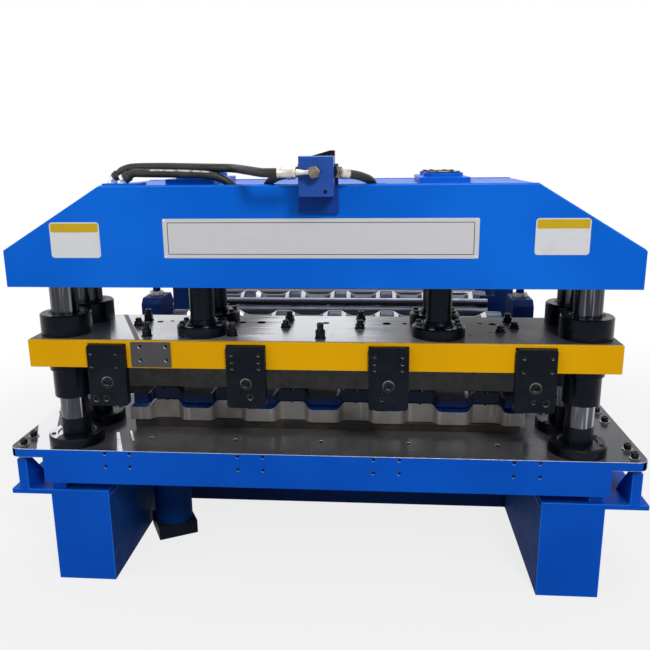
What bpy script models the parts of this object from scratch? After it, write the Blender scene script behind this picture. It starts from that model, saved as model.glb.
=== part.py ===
"""Roll forming machine for step-tile roofing sheet: the exit press and the last forming bays.

Frame: +X to the operator's right, +Y into the machine against the run of the sheet, +Z up.
The sheet comes out towards -Y. The press stands at the exit end on two welded feet.
Places are written with Y = 0 at the front edge of the bed; the last lines move all to the centre.
"""

import math

import bmesh
import bpy
from mathutils import Matrix, Vector

# Clearances
SEAT = 0.0003  # gap between pieces that rest on or touch each other
SLIDE_FIT = 0.001  # radial gap of a pillar in its bush and of a rod in its cylinder
MOTION_GAP = 0.006  # gap between the closed dies, and between mating rolls
CUT = 0.010  # how far a cutting shape runs past what it cuts
JOIN = 0.002  # how far two shapes of one piece run into each other

# Sheet profile, shared by dies and rolls
WAVE_COUNT = 6
WAVE_PITCH = 0.1875
WAVE_HEIGHT = 0.0185
WAVE_NOTCH = 0.003
SHEET_EDGE = 0.0155  # flat land outside the first and last wave

# Bed of the press
BED_HALF_WIDTH = 0.870
BED_FRONT_Y = 0.0
BED_DEPTH = 0.470
BED_TOP_Z = 0.422
BED_THICKNESS = 0.025
BED_CORNER_RADIUS = 0.030
BED_OVERHANG = 0.097
BED_BEAM_HEIGHT = 0.075
BED_BEAM_THICKNESS = 0.040
BED_BOLT_HOLE_RADIUS = 0.007
BED_HOLE_SPACING = 0.2455
BED_HOLE_Y = 0.0965

# Feet of the press
FOOT_WIDTH = 0.170
FOOT_PAST_BEAM = 0.002
FOOT_FRONT_Y = 0.030
FOOT_DEPTH = 0.510
FOOT_PLATE_TOP_Z = 0.285
FOOT_PLATE_THICKNESS = 0.015
FOOT_PLATE_REACH = 0.020
STOP_INSET = 0.0045
STOP_RIB_TOE = 0.010
STOP_WIDTH = 0.028
STOP_DEPTH = 0.028
STOP_GAP = 0.020
STOP_RIB_LENGTH = 0.075

# Jack leg under the bed
JACK_FROM_FOOT = 0.0895
JACK_Y = 0.335
JACK_RADIUS = 0.060
JACK_PAD_HEIGHT = 0.045
JACK_PAD_SIDE = 0.125
JACK_PAD_TURN = math.radians(28)

# Guide pillars
PILLAR_INSET = 0.170
PILLAR_FRONT_Y = 0.0765
PILLAR_ROW_SPACING = 0.1665
PILLAR_RADIUS = 0.0375
PILLAR_NECK_RADIUS = 0.030
PILLAR_FLANGE_RADIUS = 0.0765
PILLAR_FLANGE_HEIGHT = 0.028
PILLAR_HUB_RADIUS = 0.0395
PILLAR_HUB_HEIGHT = 0.075
PILLAR_NUT_RADIUS = 0.048
PILLAR_NUT_HEIGHT = 0.040
PILLAR_NECK_END = 0.012
FLANGE_CHAMFER = 0.004

# Crossbeam
BEAM_END = 0.093
BEAM_SHOULDER = 0.260
BEAM_FRONT_Y = -0.0435
BEAM_DEPTH = 0.430
BEAM_BOTTOM_Z = 0.888
BEAM_END_HEIGHT = 0.094
BEAM_HEIGHT = 0.252
BEAM_SIDE_PLATE = 0.016
BEAM_BOTTOM_PLATE = 0.022
BEAM_TOP_PLATE = 0.012

# Cylinders and rods
ROD_X = 0.318
ROD_FRONT_Y = 0.080
ROD_ROW_SPACING = 0.155
ROD_RADIUS = 0.0335
ROD_TOP_Z = 0.935
ROD_FLANGE_RADIUS = 0.070
ROD_FLANGE_HEIGHT = 0.029
BARREL_RADIUS = 0.050
BARREL_GLAND_DROP = 0.010
BARREL_BORE_TOP_Z = 1.020
BARREL_TOP_ABOVE_BEAM = 0.010
CAP_PLATE_THICKNESS = 0.014
CAP_PLATE_MARGIN = 0.012

# Moving plate
RAM_END = 0.072
RAM_FRONT_Y = 0.002
RAM_DEPTH = 0.296
RAM_TOP_Z = 0.740
RAM_THICKNESS = 0.075
RAM_BAR_THICKNESS = 0.012
BLOCK_SPACING = 0.3717
BLOCK_WIDTH = 0.103
BLOCK_TOP_Z = 0.731
BLOCK_BOTTOM_Z = 0.562
BLOCK_THICKNESS = 0.024
BLOCK_CORNER_RADIUS = 0.008
BLOCK_BOLT_RADIUS = 0.015
BLOCK_BOLT_HEIGHT = 0.008
BLOCK_BOLT_DROP = 0.102

# Guide bushes
BUSH_COLLAR_RADIUS = 0.068
BUSH_COLLAR_HEIGHT = 0.058
BUSH_BARREL_RADIUS = 0.049
BUSH_RING_RADIUS = 0.055
BUSH_RING_HEIGHT = 0.026
BUSH_BOTTOM_Z = 0.561
BUSH_CHAMFER = 0.003

# Forming dies
DIE_FRONT_Y = 0.177
DIE_DEPTH = 0.110
DIE_SCALLOP = 0.022
DIE_PEAK_Z = 0.504
DIE_BASE_HEIGHT = 0.024
DIE_BASE_MARGIN = 0.010
UPPER_BLADE_HEIGHT = 0.030
UPPER_BLADE_SWELL = 1.35  # height of the wave along its top, against the one below
UPPER_BLADE_SETBACK = 0.022
UPPER_BLADE_SCALLOP = -0.013  # it stands out at the peaks, unlike the lower die
UPPER_BLADE_DEPTH = 0.080
UPPER_BLADE_SIDE = 0.006
UPPER_HOLDER_SETBACK = 0.013

# Forming section
BAY_COUNT = 3
BAY_SPACING = 0.389
FIRST_BAY_Y = 0.733
PASS_Z = 0.5375
ROLL_BODY_RADIUS = 0.0555
ROLL_LAND = 0.012
SHAFT_RADIUS = 0.030
SHAFT_OVERHANG = 0.060
STAND_CLEARANCE = 0.030
STAND_THICKNESS = 0.070
STAND_HALF_DEPTH = 0.075
STAND_TOP_Z = 0.715
STAND_CORNER = 0.020
RAIL_HEIGHT = 0.330
RAIL_WIDTH = 0.110
RAIL_END_MARGIN = 0.190
CROSS_MEMBER_HEIGHT = 0.120
CROSS_MEMBER_DEPTH = 0.060
ADJUSTER_RADIUS = 0.014
ADJUSTER_HEIGHT = 0.060

# Manifold block and hoses
BLOCK_PLATE_X = (-0.035, 0.061)
BLOCK_PLATE_Z = (1.074, 1.190)
BLOCK_PLATE_THICKNESS = 0.012
MANIFOLD_X = (-0.026, 0.054)
MANIFOLD_Z = (1.117, 1.2085)
MANIFOLD_DEPTH = 0.070
HOSE_RADIUS = 0.0105
PORT_RADIUS = 0.014
PORT_LENGTH = 0.030
ELBOW_FROM_SIDE = 0.038
ELBOW_DROP = 0.036
ELBOW_REACH = 0.022
ELBOW_NUT_RADIUS = 0.015
ELBOW_STEM_RADIUS = 0.007
FERRULE_GAP = 0.002
FERRULE_LENGTH = 0.044
FERRULE_RADIUS = 0.012
SIDE_PORT_WAY = (0.80, 0.58, -0.15)  # the right port's direction, mirrored for the left one
PLUG_X = (0.030, 0.054)
PLUG_DEPTH = 0.030
PLUG_HEIGHT = 0.012
COUPLING_PLATE_X = (-0.530, -0.440)
COUPLING_PLATE_Y = (-0.022, 0.052)
COUPLING_PLATE_THICKNESS = 0.006
COUPLING_LENGTH = 0.024
COUPLING_FOOT_RADIUS = 0.0115
FRONT_COUPLING = (-0.522, 0.034, 42.0)  # X, Y and the angle at which it rises
REAR_COUPLING = (-0.483, -0.006, 30.0)
HOSE_HOLES = ((-0.206, 0.008, 0.030), (-0.116, 0.006, 0.038), (0.144, 0.006, 0.038))  # X, Y, radius
FEED_PORT_Z = 1.085
RETURN_PORT_Z = 1.035

# Points that the hoses were chosen to run through between their fittings
FRONT_HOSE_POINTS = [
    (-0.4650, 0.031, 1.1835), (-0.390, 0.022, 1.1845), (-0.310, 0.014, 1.1830), (-0.250, 0.010, 1.1815),
    (-0.200, -0.014, 1.1805), (-0.150, -0.090, 1.1770),
]
REAR_HOSE_POINTS = [
    (-0.4200, -0.006, 1.1705), (-0.320, -0.006, 1.1680), (-0.255, -0.004, 1.1630), (-0.218, 0.002, 1.1480),
    (-0.190, 0.010, 1.1180), (-0.170, 0.026, 1.0800), (-0.160, 0.080, 1.0450), (-0.155, 0.140, 1.0350),
    (-0.165, 0.195, 1.0350), (-0.186, 0.226, 1.0350),
]
RIGHT_HOSE_POINTS = [
    (0.122, -0.037, 1.1570), (0.138, -0.015, 1.1470), (0.152, 0.012, 1.1220), (0.176, 0.048, 1.0960),
]
LEFT_HOSE_POINTS = [
    (-0.094, -0.037, 1.1570), (-0.110, -0.015, 1.1470), (-0.128, 0.014, 1.1240), (-0.160, 0.050, 1.1050),
]

ROUND = 24  # sides of a large round piece
ROLL_SIDES = 16
SMALL_ROUND = 12

# Derived places
BED_BOTTOM_Z = BED_TOP_Z - BED_THICKNESS
BED_BACK_Y = BED_FRONT_Y + BED_DEPTH
BED_BEAM_HALF_WIDTH = BED_HALF_WIDTH - BED_OVERHANG
BED_BEAM_TOP_Z = BED_BOTTOM_Z - SEAT
BED_BEAM_BOTTOM_Z = BED_BOTTOM_Z - BED_BEAM_HEIGHT
FOOT_BACK_Y = FOOT_FRONT_Y + FOOT_DEPTH
FOOT_OUTER_X = BED_BEAM_HALF_WIDTH + FOOT_PAST_BEAM
FOOT_INNER_X = FOOT_OUTER_X - FOOT_WIDTH
FOOT_PLATE_OUTER_X = BED_HALF_WIDTH + FOOT_PLATE_REACH
STOP_OUTER_X = BED_HALF_WIDTH - STOP_INSET
JACK_X = JACK_FROM_FOOT - FOOT_INNER_X
PILLAR_X = BED_HALF_WIDTH - PILLAR_INSET
PILLAR_ROWS = (PILLAR_FRONT_Y, PILLAR_FRONT_Y + PILLAR_ROW_SPACING)
BEAM_HALF_WIDTH = PILLAR_X + BEAM_END
BEAM_TOP_HALF_WIDTH = BEAM_HALF_WIDTH - BEAM_SHOULDER
BEAM_BACK_Y = BEAM_FRONT_Y + BEAM_DEPTH
BEAM_TOP_Z = BEAM_BOTTOM_Z + BEAM_HEIGHT
ROD_ROWS = (ROD_FRONT_Y, ROD_FRONT_Y + ROD_ROW_SPACING)
RAM_HALF_WIDTH = PILLAR_X + RAM_END
RAM_BACK_Y = RAM_FRONT_Y + RAM_DEPTH
RAM_BOTTOM_Z = RAM_TOP_Z - RAM_THICKNESS
DIE_HALF_WIDTH = WAVE_COUNT * WAVE_PITCH / 2 + SHEET_EDGE
ROLL_HALF_WIDTH = DIE_HALF_WIDTH + ROLL_LAND
STAND_INNER_X = ROLL_HALF_WIDTH + STAND_CLEARANCE
ROLL_SPACING = 2 * ROLL_BODY_RADIUS + MOTION_GAP
LOWER_ROLL_Z = PASS_Z - ROLL_SPACING / 2
UPPER_ROLL_Z = PASS_Z + ROLL_SPACING / 2
BAY_ROWS = tuple(FIRST_BAY_Y + BAY_SPACING * i for i in range(BAY_COUNT))
RAIL_FRONT_Y = FOOT_BACK_Y + SEAT
RAIL_BACK_Y = BAY_ROWS[-1] + RAIL_END_MARGIN
BLOCK_PLACES = tuple(BLOCK_SPACING * (i - 1.5) for i in range(4))
BARREL_PORT_X = ROD_X - BARREL_RADIUS - PORT_LENGTH
COUPLING_BASE_Z = BEAM_TOP_Z + SEAT
FRONT_Y = BEAM_FRONT_Y - SEAT - BLOCK_PLATE_THICKNESS - MANIFOLD_DEPTH - ELBOW_REACH - FERRULE_RADIUS
CENTRE_Y = (FRONT_Y + RAIL_BACK_Y) / 2

for old in list(bpy.data.objects):
    bpy.data.objects.remove(old, do_unlink=True)
MODEL = bpy.data.collections.new("roll_forming_machine")
CUTTERS = bpy.data.collections.new("cutters")
bpy.context.scene.collection.children.link(MODEL)
bpy.context.scene.collection.children.link(CUTTERS)


def paint(name, colour, roughness, metallic):
    material = bpy.data.materials.new(name)
    material.use_nodes = True
    shader = material.node_tree.nodes["Principled BSDF"]
    shader.inputs["Base Color"].default_value = (*colour, 1.0)
    shader.inputs["Roughness"].default_value = roughness
    shader.inputs["Metallic"].default_value = metallic
    return material


BLUE = paint("blue_enamel", (0.006, 0.130, 0.620), 0.35, 0.0)
DARK_BLUE = paint("forming_frame_blue", (0.008, 0.060, 0.330), 0.45, 0.0)
YELLOW = paint("yellow_enamel", (0.760, 0.420, 0.010), 0.40, 0.0)
BLACKENED = paint("blackened_steel", (0.012, 0.015, 0.020), 0.38, 0.7)
CHROME = paint("hard_chrome", (0.640, 0.650, 0.670), 0.12, 1.0)
GROUND = paint("ground_steel", (0.520, 0.520, 0.530), 0.20, 1.0)
BED_STEEL = paint("bed_steel", (0.120, 0.105, 0.095), 0.22, 0.9)
DIE_STEEL = paint("die_steel", (0.300, 0.280, 0.260), 0.45, 0.8)
DIE_BLACK = paint("upper_die_steel", (0.030, 0.035, 0.050), 0.25, 0.9)
RUBBER = paint("hose_rubber", (0.015, 0.015, 0.016), 0.55, 0.0)


def new_object(name, mesh, material=None, cutter=False):
    obj = bpy.data.objects.new(name, mesh)
    (CUTTERS if cutter else MODEL).objects.link(obj)
    if cutter:
        obj.hide_render = True
        obj.display_type = "WIRE"
    if material:
        obj.data.materials.clear()
        obj.data.materials.append(material)
    return obj


def mesh_from(name, build):
    """A mesh made by build(bm), with its normals turned outwards."""
    bm = bmesh.new()
    build(bm)
    bmesh.ops.recalc_face_normals(bm, faces=bm.faces)
    mesh = bpy.data.meshes.new(name)
    bm.to_mesh(mesh)
    bm.free()
    return mesh


def smooth(obj, angle=35):
    obj.data.shade_smooth()
    obj.data.set_sharp_from_angle(angle=math.radians(angle))
    return obj


def box(name, x, y, z, material=None, cutter=False):
    """A rectangular block between two values on each axis."""
    low = Vector((x[0], y[0], z[0]))
    high = Vector((x[1], y[1], z[1]))
    size = high - low
    place = Matrix.Translation((low + high) / 2) @ Matrix.Diagonal((*size, 1.0))
    mesh = mesh_from(name, lambda bm: bmesh.ops.create_cube(bm, size=1.0, matrix=place))
    return new_object(name, mesh, material, cutter)


def rod(name, radius, start, end, material=None, cutter=False, sides=ROUND):
    """A round bar from one point to another."""
    start = Vector(start)
    end = Vector(end)
    turn = (end - start).to_track_quat("Z", "Y").to_matrix().to_4x4()
    place = Matrix.Translation((start + end) / 2) @ turn

    def build(bm):
        bmesh.ops.create_cone(
            bm, cap_ends=True, segments=sides, radius1=radius, radius2=radius,
            depth=(end - start).length, matrix=place,
        )

    return smooth(new_object(name, mesh_from(name, build), material, cutter))


def slab(name, outline, start, end, axis, material=None, cutter=False):
    """A flat outline given thickness along an axis.

    axis "Y" takes (x, z) points, axis "Z" takes (x, y) points and axis "X" takes (y, z) points.
    """
    curve = bpy.data.curves.new(name, "CURVE")
    curve.dimensions = "2D"
    curve.fill_mode = "BOTH"
    curve.extrude = abs(end - start) / 2
    spline = curve.splines.new("POLY")
    spline.points.add(len(outline) - 1)
    for point, (a, b) in zip(spline.points, outline):
        point.co = (a, b, 0.0, 1.0)
    spline.use_cyclic_u = True
    middle = (start + end) / 2
    turns = {
        "Z": Matrix.Translation((0, 0, middle)),
        "Y": Matrix.Translation((0, middle, 0)) @ Matrix.Rotation(math.pi / 2, 4, "X"),
        "X": Matrix.Translation((middle, 0, 0))
        @ Matrix.Rotation(math.pi / 2, 4, "Z") @ Matrix.Rotation(math.pi / 2, 4, "X"),
    }
    flat = bpy.data.objects.new(name + "_outline", curve)
    MODEL.objects.link(flat)
    bpy.context.view_layer.update()
    graph = bpy.context.evaluated_depsgraph_get()
    mesh = bpy.data.meshes.new_from_object(flat.evaluated_get(graph))
    mesh.transform(turns[axis])
    bpy.data.objects.remove(flat, do_unlink=True)
    bm = bmesh.new()
    bm.from_mesh(mesh)
    bmesh.ops.remove_doubles(bm, verts=bm.verts, dist=0.00001)
    bmesh.ops.dissolve_limit(bm, angle_limit=0.001, verts=bm.verts, edges=bm.edges)
    bmesh.ops.recalc_face_normals(bm, faces=bm.faces)
    bm.to_mesh(mesh)
    bm.free()
    mesh.name = name
    return new_object(name, mesh, material, cutter)


def turned(name, profile, origin, direction="Z", material=None, sides=ROUND):
    """A lathe-turned piece: (radius, height) points from the top of its outer side down and round."""
    mesh = bpy.data.meshes.new(name)
    points = [(radius, 0.0, height) for radius, height in profile]
    edges = [(i, i + 1) for i in range(len(points) - 1)]
    if profile[0][0] > 0:
        edges.append((len(points) - 1, 0))
    mesh.from_pydata(points, edges, [])
    obj = new_object(name, mesh, material)
    screw = obj.modifiers.new("turn", "SCREW")
    screw.axis = "Z"
    screw.steps = sides
    screw.render_steps = sides
    screw.use_merge_vertices = True
    screw.merge_threshold = 0.00005
    screw.use_smooth_shade = True
    obj.location = origin
    if direction == "X":
        obj.rotation_euler = (0, math.pi / 2, 0)
    return obj


def boolean(obj, others, operation="DIFFERENCE"):
    for other in others:
        step = obj.modifiers.new(operation.lower(), "BOOLEAN")
        step.operation = operation
        step.solver = "EXACT"
        step.object = other
    return obj


def rounded_rectangle(x, y, radius, steps=4):
    """Corner points of a rectangle whose four corners are arcs."""
    points = []
    corners = (
        (x[1] - radius, y[1] - radius, 0),
        (x[0] + radius, y[1] - radius, 90),
        (x[0] + radius, y[0] + radius, 180),
        (x[1] - radius, y[0] + radius, 270),
    )
    for cx, cy, first in corners:
        for i in range(steps + 1):
            angle = math.radians(first + 90 * i / steps)
            points.append((cx + radius * math.cos(angle), cy + radius * math.sin(angle)))
    return points


# Shape of one wave of the sheet: share of the pitch from the valley, and share of the height
WAVE_SHAPE = (
    (0.17, 0.00), (0.22, 0.10), (0.26, 0.42), (0.30, 0.86), (0.335, 1.00),
    (0.665, 1.00), (0.70, 0.86), (0.74, 0.42), (0.78, 0.10), (0.83, 0.00),
)
ROLL_WAVE_SHAPE = ((0.12, 0.00), (0.22, 0.60), (0.32, 1.00), (0.68, 1.00), (0.78, 0.60), (0.88, 0.00))
NOTCH_SHAPE = ((0.47, 0.0), (0.485, 1.0), (0.515, 1.0), (0.53, 0.0))


def sheet_wave(shape=WAVE_SHAPE, notch=True):
    """(x, height) points of the sheet across the machine, between its two edge lands."""
    points = []
    first = -WAVE_COUNT * WAVE_PITCH / 2
    for wave in range(WAVE_COUNT):
        start = first + wave * WAVE_PITCH
        half = len(shape) // 2
        for share, height in shape[:half]:
            points.append((start + share * WAVE_PITCH, height * WAVE_HEIGHT))
        if notch:
            for share, depth in NOTCH_SHAPE:
                points.append((start + share * WAVE_PITCH, WAVE_HEIGHT - depth * WAVE_NOTCH))
        for share, height in shape[half:]:
            points.append((start + share * WAVE_PITCH, height * WAVE_HEIGHT))
    return points


def make_bed():
    """Ground bed plate on four beams."""
    x = (-BED_HALF_WIDTH, BED_HALF_WIDTH)
    y = (BED_FRONT_Y, BED_BACK_Y)
    plate = slab(
        "bed_plate", rounded_rectangle(x, y, BED_CORNER_RADIUS), BED_BOTTOM_Z, BED_TOP_Z, "Z", BED_STEEL
    )
    holes = []
    for i in range(5):
        place = BED_HOLE_SPACING * (i - 2)
        holes.append(rod(
            f"bed_hole_{i}", BED_BOLT_HOLE_RADIUS, (place, BED_HOLE_Y, BED_BOTTOM_Z - CUT),
            (place, BED_HOLE_Y, BED_TOP_Z + CUT), cutter=True, sides=SMALL_ROUND,
        ))
    boolean(plate, holes)
    beam_x = (-BED_BEAM_HALF_WIDTH, BED_BEAM_HALF_WIDTH)
    z = (BED_BEAM_BOTTOM_Z, BED_BEAM_TOP_Z)
    box("bed_front_beam", beam_x, (BED_FRONT_Y, BED_FRONT_Y + BED_BEAM_THICKNESS), z, BLUE)
    box("bed_rear_beam", beam_x, (BED_BACK_Y - BED_BEAM_THICKNESS, BED_BACK_Y), z, BLUE)
    side_y = (BED_FRONT_Y + BED_BEAM_THICKNESS + SEAT, BED_BACK_Y - BED_BEAM_THICKNESS - SEAT)
    side_z = (FOOT_PLATE_TOP_Z + SEAT, BED_BEAM_TOP_Z)
    inner = BED_BEAM_HALF_WIDTH - BED_BEAM_THICKNESS
    box("bed_left_beam", (-BED_BEAM_HALF_WIDTH, -inner), side_y, side_z, BLUE)
    box("bed_right_beam", (inner, BED_BEAM_HALF_WIDTH), side_y, side_z, BLUE)


def make_foot(name, side):
    """Box leg with a top plate that reaches out to two stops, each with its rib."""
    def across(a, b):
        return tuple(sorted((side * a, side * b)))

    plate_bottom = FOOT_PLATE_TOP_Z - FOOT_PLATE_THICKNESS
    y = (FOOT_FRONT_Y, FOOT_BACK_Y)
    foot = box(name, across(FOOT_INNER_X, FOOT_OUTER_X), y, (0.0, plate_bottom + JOIN), BLUE)
    plate = box(
        name + "_plate", across(FOOT_INNER_X, FOOT_PLATE_OUTER_X), y,
        (plate_bottom, FOOT_PLATE_TOP_Z), cutter=True,
    )
    stop_top = BED_BOTTOM_Z - STOP_GAP
    stop_x = across(STOP_OUTER_X - STOP_WIDTH, STOP_OUTER_X)
    parts = [plate]
    for end, first, way in (("front", FOOT_FRONT_Y, 1), ("rear", FOOT_BACK_Y, -1)):
        inner = first + way * STOP_DEPTH
        toe = inner + way * STOP_RIB_LENGTH
        outline = [
            (first, FOOT_PLATE_TOP_Z - JOIN), (first, stop_top), (inner, stop_top),
            (toe, FOOT_PLATE_TOP_Z + STOP_RIB_TOE), (toe, FOOT_PLATE_TOP_Z - JOIN),
        ]
        parts.append(slab(f"{name}_stop_{end}", outline, stop_x[0], stop_x[1], "X", cutter=True))
    return boolean(foot, parts, "UNION")


def make_jack_leg():
    """Round leg on a turned square pad, under the middle of the left half of the bed."""
    column = rod(
        "jack_leg", JACK_RADIUS, (JACK_X, JACK_Y, JACK_PAD_HEIGHT / 2),
        (JACK_X, JACK_Y, BED_BOTTOM_Z - SEAT), BLUE,
    )
    half = JACK_PAD_SIDE / 2
    pad = box("jack_pad", (-half, half), (-half, half), (0.0, JACK_PAD_HEIGHT), cutter=True)
    pad.data.transform(Matrix.Translation((JACK_X, JACK_Y, 0)) @ Matrix.Rotation(JACK_PAD_TURN, 4, "Z"))
    return boolean(column, [pad], "UNION")


def make_pillar(name, x, y):
    """Chromed pillar with a hub and base flange, and a neck and nut that hold the crossbeam."""
    base = BED_TOP_Z + SEAT
    shoulder = BEAM_BOTTOM_Z - SEAT
    nut_bottom = BEAM_BOTTOM_Z + BEAM_BOTTOM_PLATE + SEAT
    profile = [
        (0.0, nut_bottom + PILLAR_NUT_HEIGHT + PILLAR_NECK_END),
        (PILLAR_NECK_RADIUS, nut_bottom + PILLAR_NUT_HEIGHT + PILLAR_NECK_END),
        (PILLAR_NECK_RADIUS, nut_bottom + PILLAR_NUT_HEIGHT),
        (PILLAR_NUT_RADIUS, nut_bottom + PILLAR_NUT_HEIGHT),
        (PILLAR_NUT_RADIUS, nut_bottom),
        (PILLAR_NECK_RADIUS, nut_bottom),
        (PILLAR_NECK_RADIUS, shoulder),
        (PILLAR_RADIUS, shoulder),
        (PILLAR_RADIUS, base + PILLAR_HUB_HEIGHT),
        (PILLAR_HUB_RADIUS, base + PILLAR_HUB_HEIGHT),
        (PILLAR_HUB_RADIUS, base + PILLAR_FLANGE_HEIGHT),
        (PILLAR_FLANGE_RADIUS - FLANGE_CHAMFER, base + PILLAR_FLANGE_HEIGHT),
        (PILLAR_FLANGE_RADIUS, base + PILLAR_FLANGE_HEIGHT - FLANGE_CHAMFER),
        (PILLAR_FLANGE_RADIUS, base),
        (0.0, base),
    ]
    return turned(name, profile, (x, y, 0), material=CHROME)


def beam_outline():
    """(x, z) corners of the crossbeam seen from the front."""
    end = BEAM_BOTTOM_Z + BEAM_END_HEIGHT
    right = [(BEAM_HALF_WIDTH, BEAM_BOTTOM_Z), (BEAM_HALF_WIDTH, end), (BEAM_TOP_HALF_WIDTH, BEAM_TOP_Z)]
    return right + [(-x, z) for x, z in reversed(right)]


def make_crossbeam():
    """Box beam of a front plate, rear plate, bottom plate and one folded top plate."""
    outline = beam_outline()
    front = (BEAM_FRONT_Y, BEAM_FRONT_Y + BEAM_SIDE_PLATE)
    rear = (BEAM_BACK_Y - BEAM_SIDE_PLATE, BEAM_BACK_Y)
    slab("crossbeam_front_plate", outline, front[0], front[1], "Y", BLUE)
    slab("crossbeam_rear_plate", outline, rear[0], rear[1], "Y", BLUE)
    inside = (front[1] + SEAT, rear[0] - SEAT)
    bottom = box(
        "crossbeam_bottom_plate", (-BEAM_HALF_WIDTH, BEAM_HALF_WIDTH), inside,
        (BEAM_BOTTOM_Z, BEAM_BOTTOM_Z + BEAM_BOTTOM_PLATE), BLUE,
    )
    cutters = []
    for side in (-1, 1):
        for row, y in enumerate(PILLAR_ROWS):
            cutters.append(rod(
                f"neck_hole_{side}_{row}", PILLAR_NECK_RADIUS + SLIDE_FIT,
                (side * PILLAR_X, y, BEAM_BOTTOM_Z - CUT),
                (side * PILLAR_X, y, BEAM_BOTTOM_Z + BEAM_BOTTOM_PLATE + CUT), cutter=True,
            ))
    barrels = [
        rod(
            f"barrel_hole_{side}_{row}", BARREL_RADIUS + SEAT,
            (side * ROD_X, y, BEAM_BOTTOM_Z - 3 * CUT), (side * ROD_X, y, BEAM_TOP_Z + 3 * CUT), cutter=True,
        )
        for side in (-1, 1) for row, y in enumerate(ROD_ROWS)
    ]
    boolean(bottom, cutters + barrels)
    top = make_folded_top(inside)
    hose_holes = [
        rod(
            f"hose_hole_{i}", radius, (x, y, BEAM_TOP_Z - 3 * CUT), (x, y, BEAM_TOP_Z + 3 * CUT), cutter=True,
        )
        for i, (x, y, radius) in enumerate(HOSE_HOLES)
    ]
    boolean(top, barrels + hose_holes)


def make_folded_top(inside):
    """The folded plate that closes the crossbeam from end to end, over the bottom plate."""
    end = BEAM_BOTTOM_Z + BEAM_END_HEIGHT
    low = BEAM_BOTTOM_Z + BEAM_BOTTOM_PLATE + SEAT
    slope = math.atan2(BEAM_TOP_Z - end, BEAM_HALF_WIDTH - BEAM_TOP_HALF_WIDTH)
    wall = BEAM_TOP_PLATE
    inner_end_z = end - wall * math.tan((math.pi / 2 - slope) / 2)
    inner_top_x = BEAM_TOP_HALF_WIDTH - wall * math.tan(slope / 2)
    outer = [(BEAM_HALF_WIDTH, low), (BEAM_HALF_WIDTH, end), (BEAM_TOP_HALF_WIDTH, BEAM_TOP_Z)]
    inner = [
        (BEAM_HALF_WIDTH - wall, low), (BEAM_HALF_WIDTH - wall, inner_end_z),
        (inner_top_x, BEAM_TOP_Z - wall),
    ]
    outline = outer + [(-x, z) for x, z in reversed(outer)]
    outline += [(-x, z) for x, z in inner] + list(reversed(inner))
    return slab("crossbeam_top_plate", outline, inside[0], inside[1], "Y", BLUE)


def make_cylinder_pair(name, side):
    """Two hydraulic barrels let through the crossbeam and joined by one cap plate on top of it."""
    cap_bottom = BEAM_TOP_Z + SEAT
    margin = BARREL_RADIUS + CAP_PLATE_MARGIN
    x = side * ROD_X
    pair = box(
        name, (x - margin, x + margin), (ROD_ROWS[0] - margin, ROD_ROWS[1] + margin),
        (cap_bottom, cap_bottom + CAP_PLATE_THICKNESS), BLUE,
    )
    barrels = []
    bores = []
    for row, y in enumerate(ROD_ROWS):
        bottom = BEAM_BOTTOM_Z - BARREL_GLAND_DROP
        top = cap_bottom + CAP_PLATE_THICKNESS + BARREL_TOP_ABOVE_BEAM
        barrels.append(rod(f"{name}_barrel_{row}", BARREL_RADIUS, (x, y, bottom), (x, y, top), cutter=True))
        bores.append(rod(
            f"{name}_bore_{row}", ROD_RADIUS + SLIDE_FIT, (x, y, bottom - CUT),
            (x, y, BARREL_BORE_TOP_Z), cutter=True,
        ))
    port_end = side * BARREL_PORT_X
    for row, (y, z) in enumerate(zip(ROD_ROWS, (FEED_PORT_Z, RETURN_PORT_Z))):
        barrels.append(rod(
            f"{name}_port_{row}", PORT_RADIUS, (x - side * (BARREL_RADIUS - 3 * JOIN), y, z),
            (port_end, y, z), cutter=True, sides=SMALL_ROUND,
        ))
    boolean(pair, barrels, "UNION")
    boolean(pair, bores)
    return pair


def make_rod(name, x, y):
    """Rod coupling with the flange that is bolted to the moving plate."""
    base = RAM_TOP_Z + SEAT
    profile = [
        (0.0, ROD_TOP_Z),
        (ROD_RADIUS, ROD_TOP_Z),
        (ROD_RADIUS, base + ROD_FLANGE_HEIGHT),
        (ROD_FLANGE_RADIUS - FLANGE_CHAMFER, base + ROD_FLANGE_HEIGHT),
        (ROD_FLANGE_RADIUS, base + ROD_FLANGE_HEIGHT - FLANGE_CHAMFER),
        (ROD_FLANGE_RADIUS, base),
        (0.0, base),
    ]
    return turned(name, profile, (x, y, 0), material=BLACKENED)


def make_bush(name, x, y):
    """Flanged guide bush: collar on the moving plate, barrel down through it, ring below."""
    collar_bottom = RAM_TOP_Z + SEAT
    collar_top = collar_bottom + BUSH_COLLAR_HEIGHT
    ring_top = RAM_BOTTOM_Z - SEAT
    bore = PILLAR_RADIUS + SLIDE_FIT
    profile = [
        (BUSH_COLLAR_RADIUS - BUSH_CHAMFER, collar_top),
        (BUSH_COLLAR_RADIUS, collar_top - BUSH_CHAMFER),
        (BUSH_COLLAR_RADIUS, collar_bottom),
        (BUSH_BARREL_RADIUS, collar_bottom),
        (BUSH_BARREL_RADIUS, ring_top),
        (BUSH_RING_RADIUS, ring_top),
        (BUSH_RING_RADIUS, ring_top - BUSH_RING_HEIGHT),
        (BUSH_BARREL_RADIUS, ring_top - BUSH_RING_HEIGHT),
        (BUSH_BARREL_RADIUS, BUSH_BOTTOM_Z),
        (bore, BUSH_BOTTOM_Z),
        (bore, collar_top),
    ]
    return turned(name, profile, (x, y, 0), material=BLACKENED)


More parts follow.
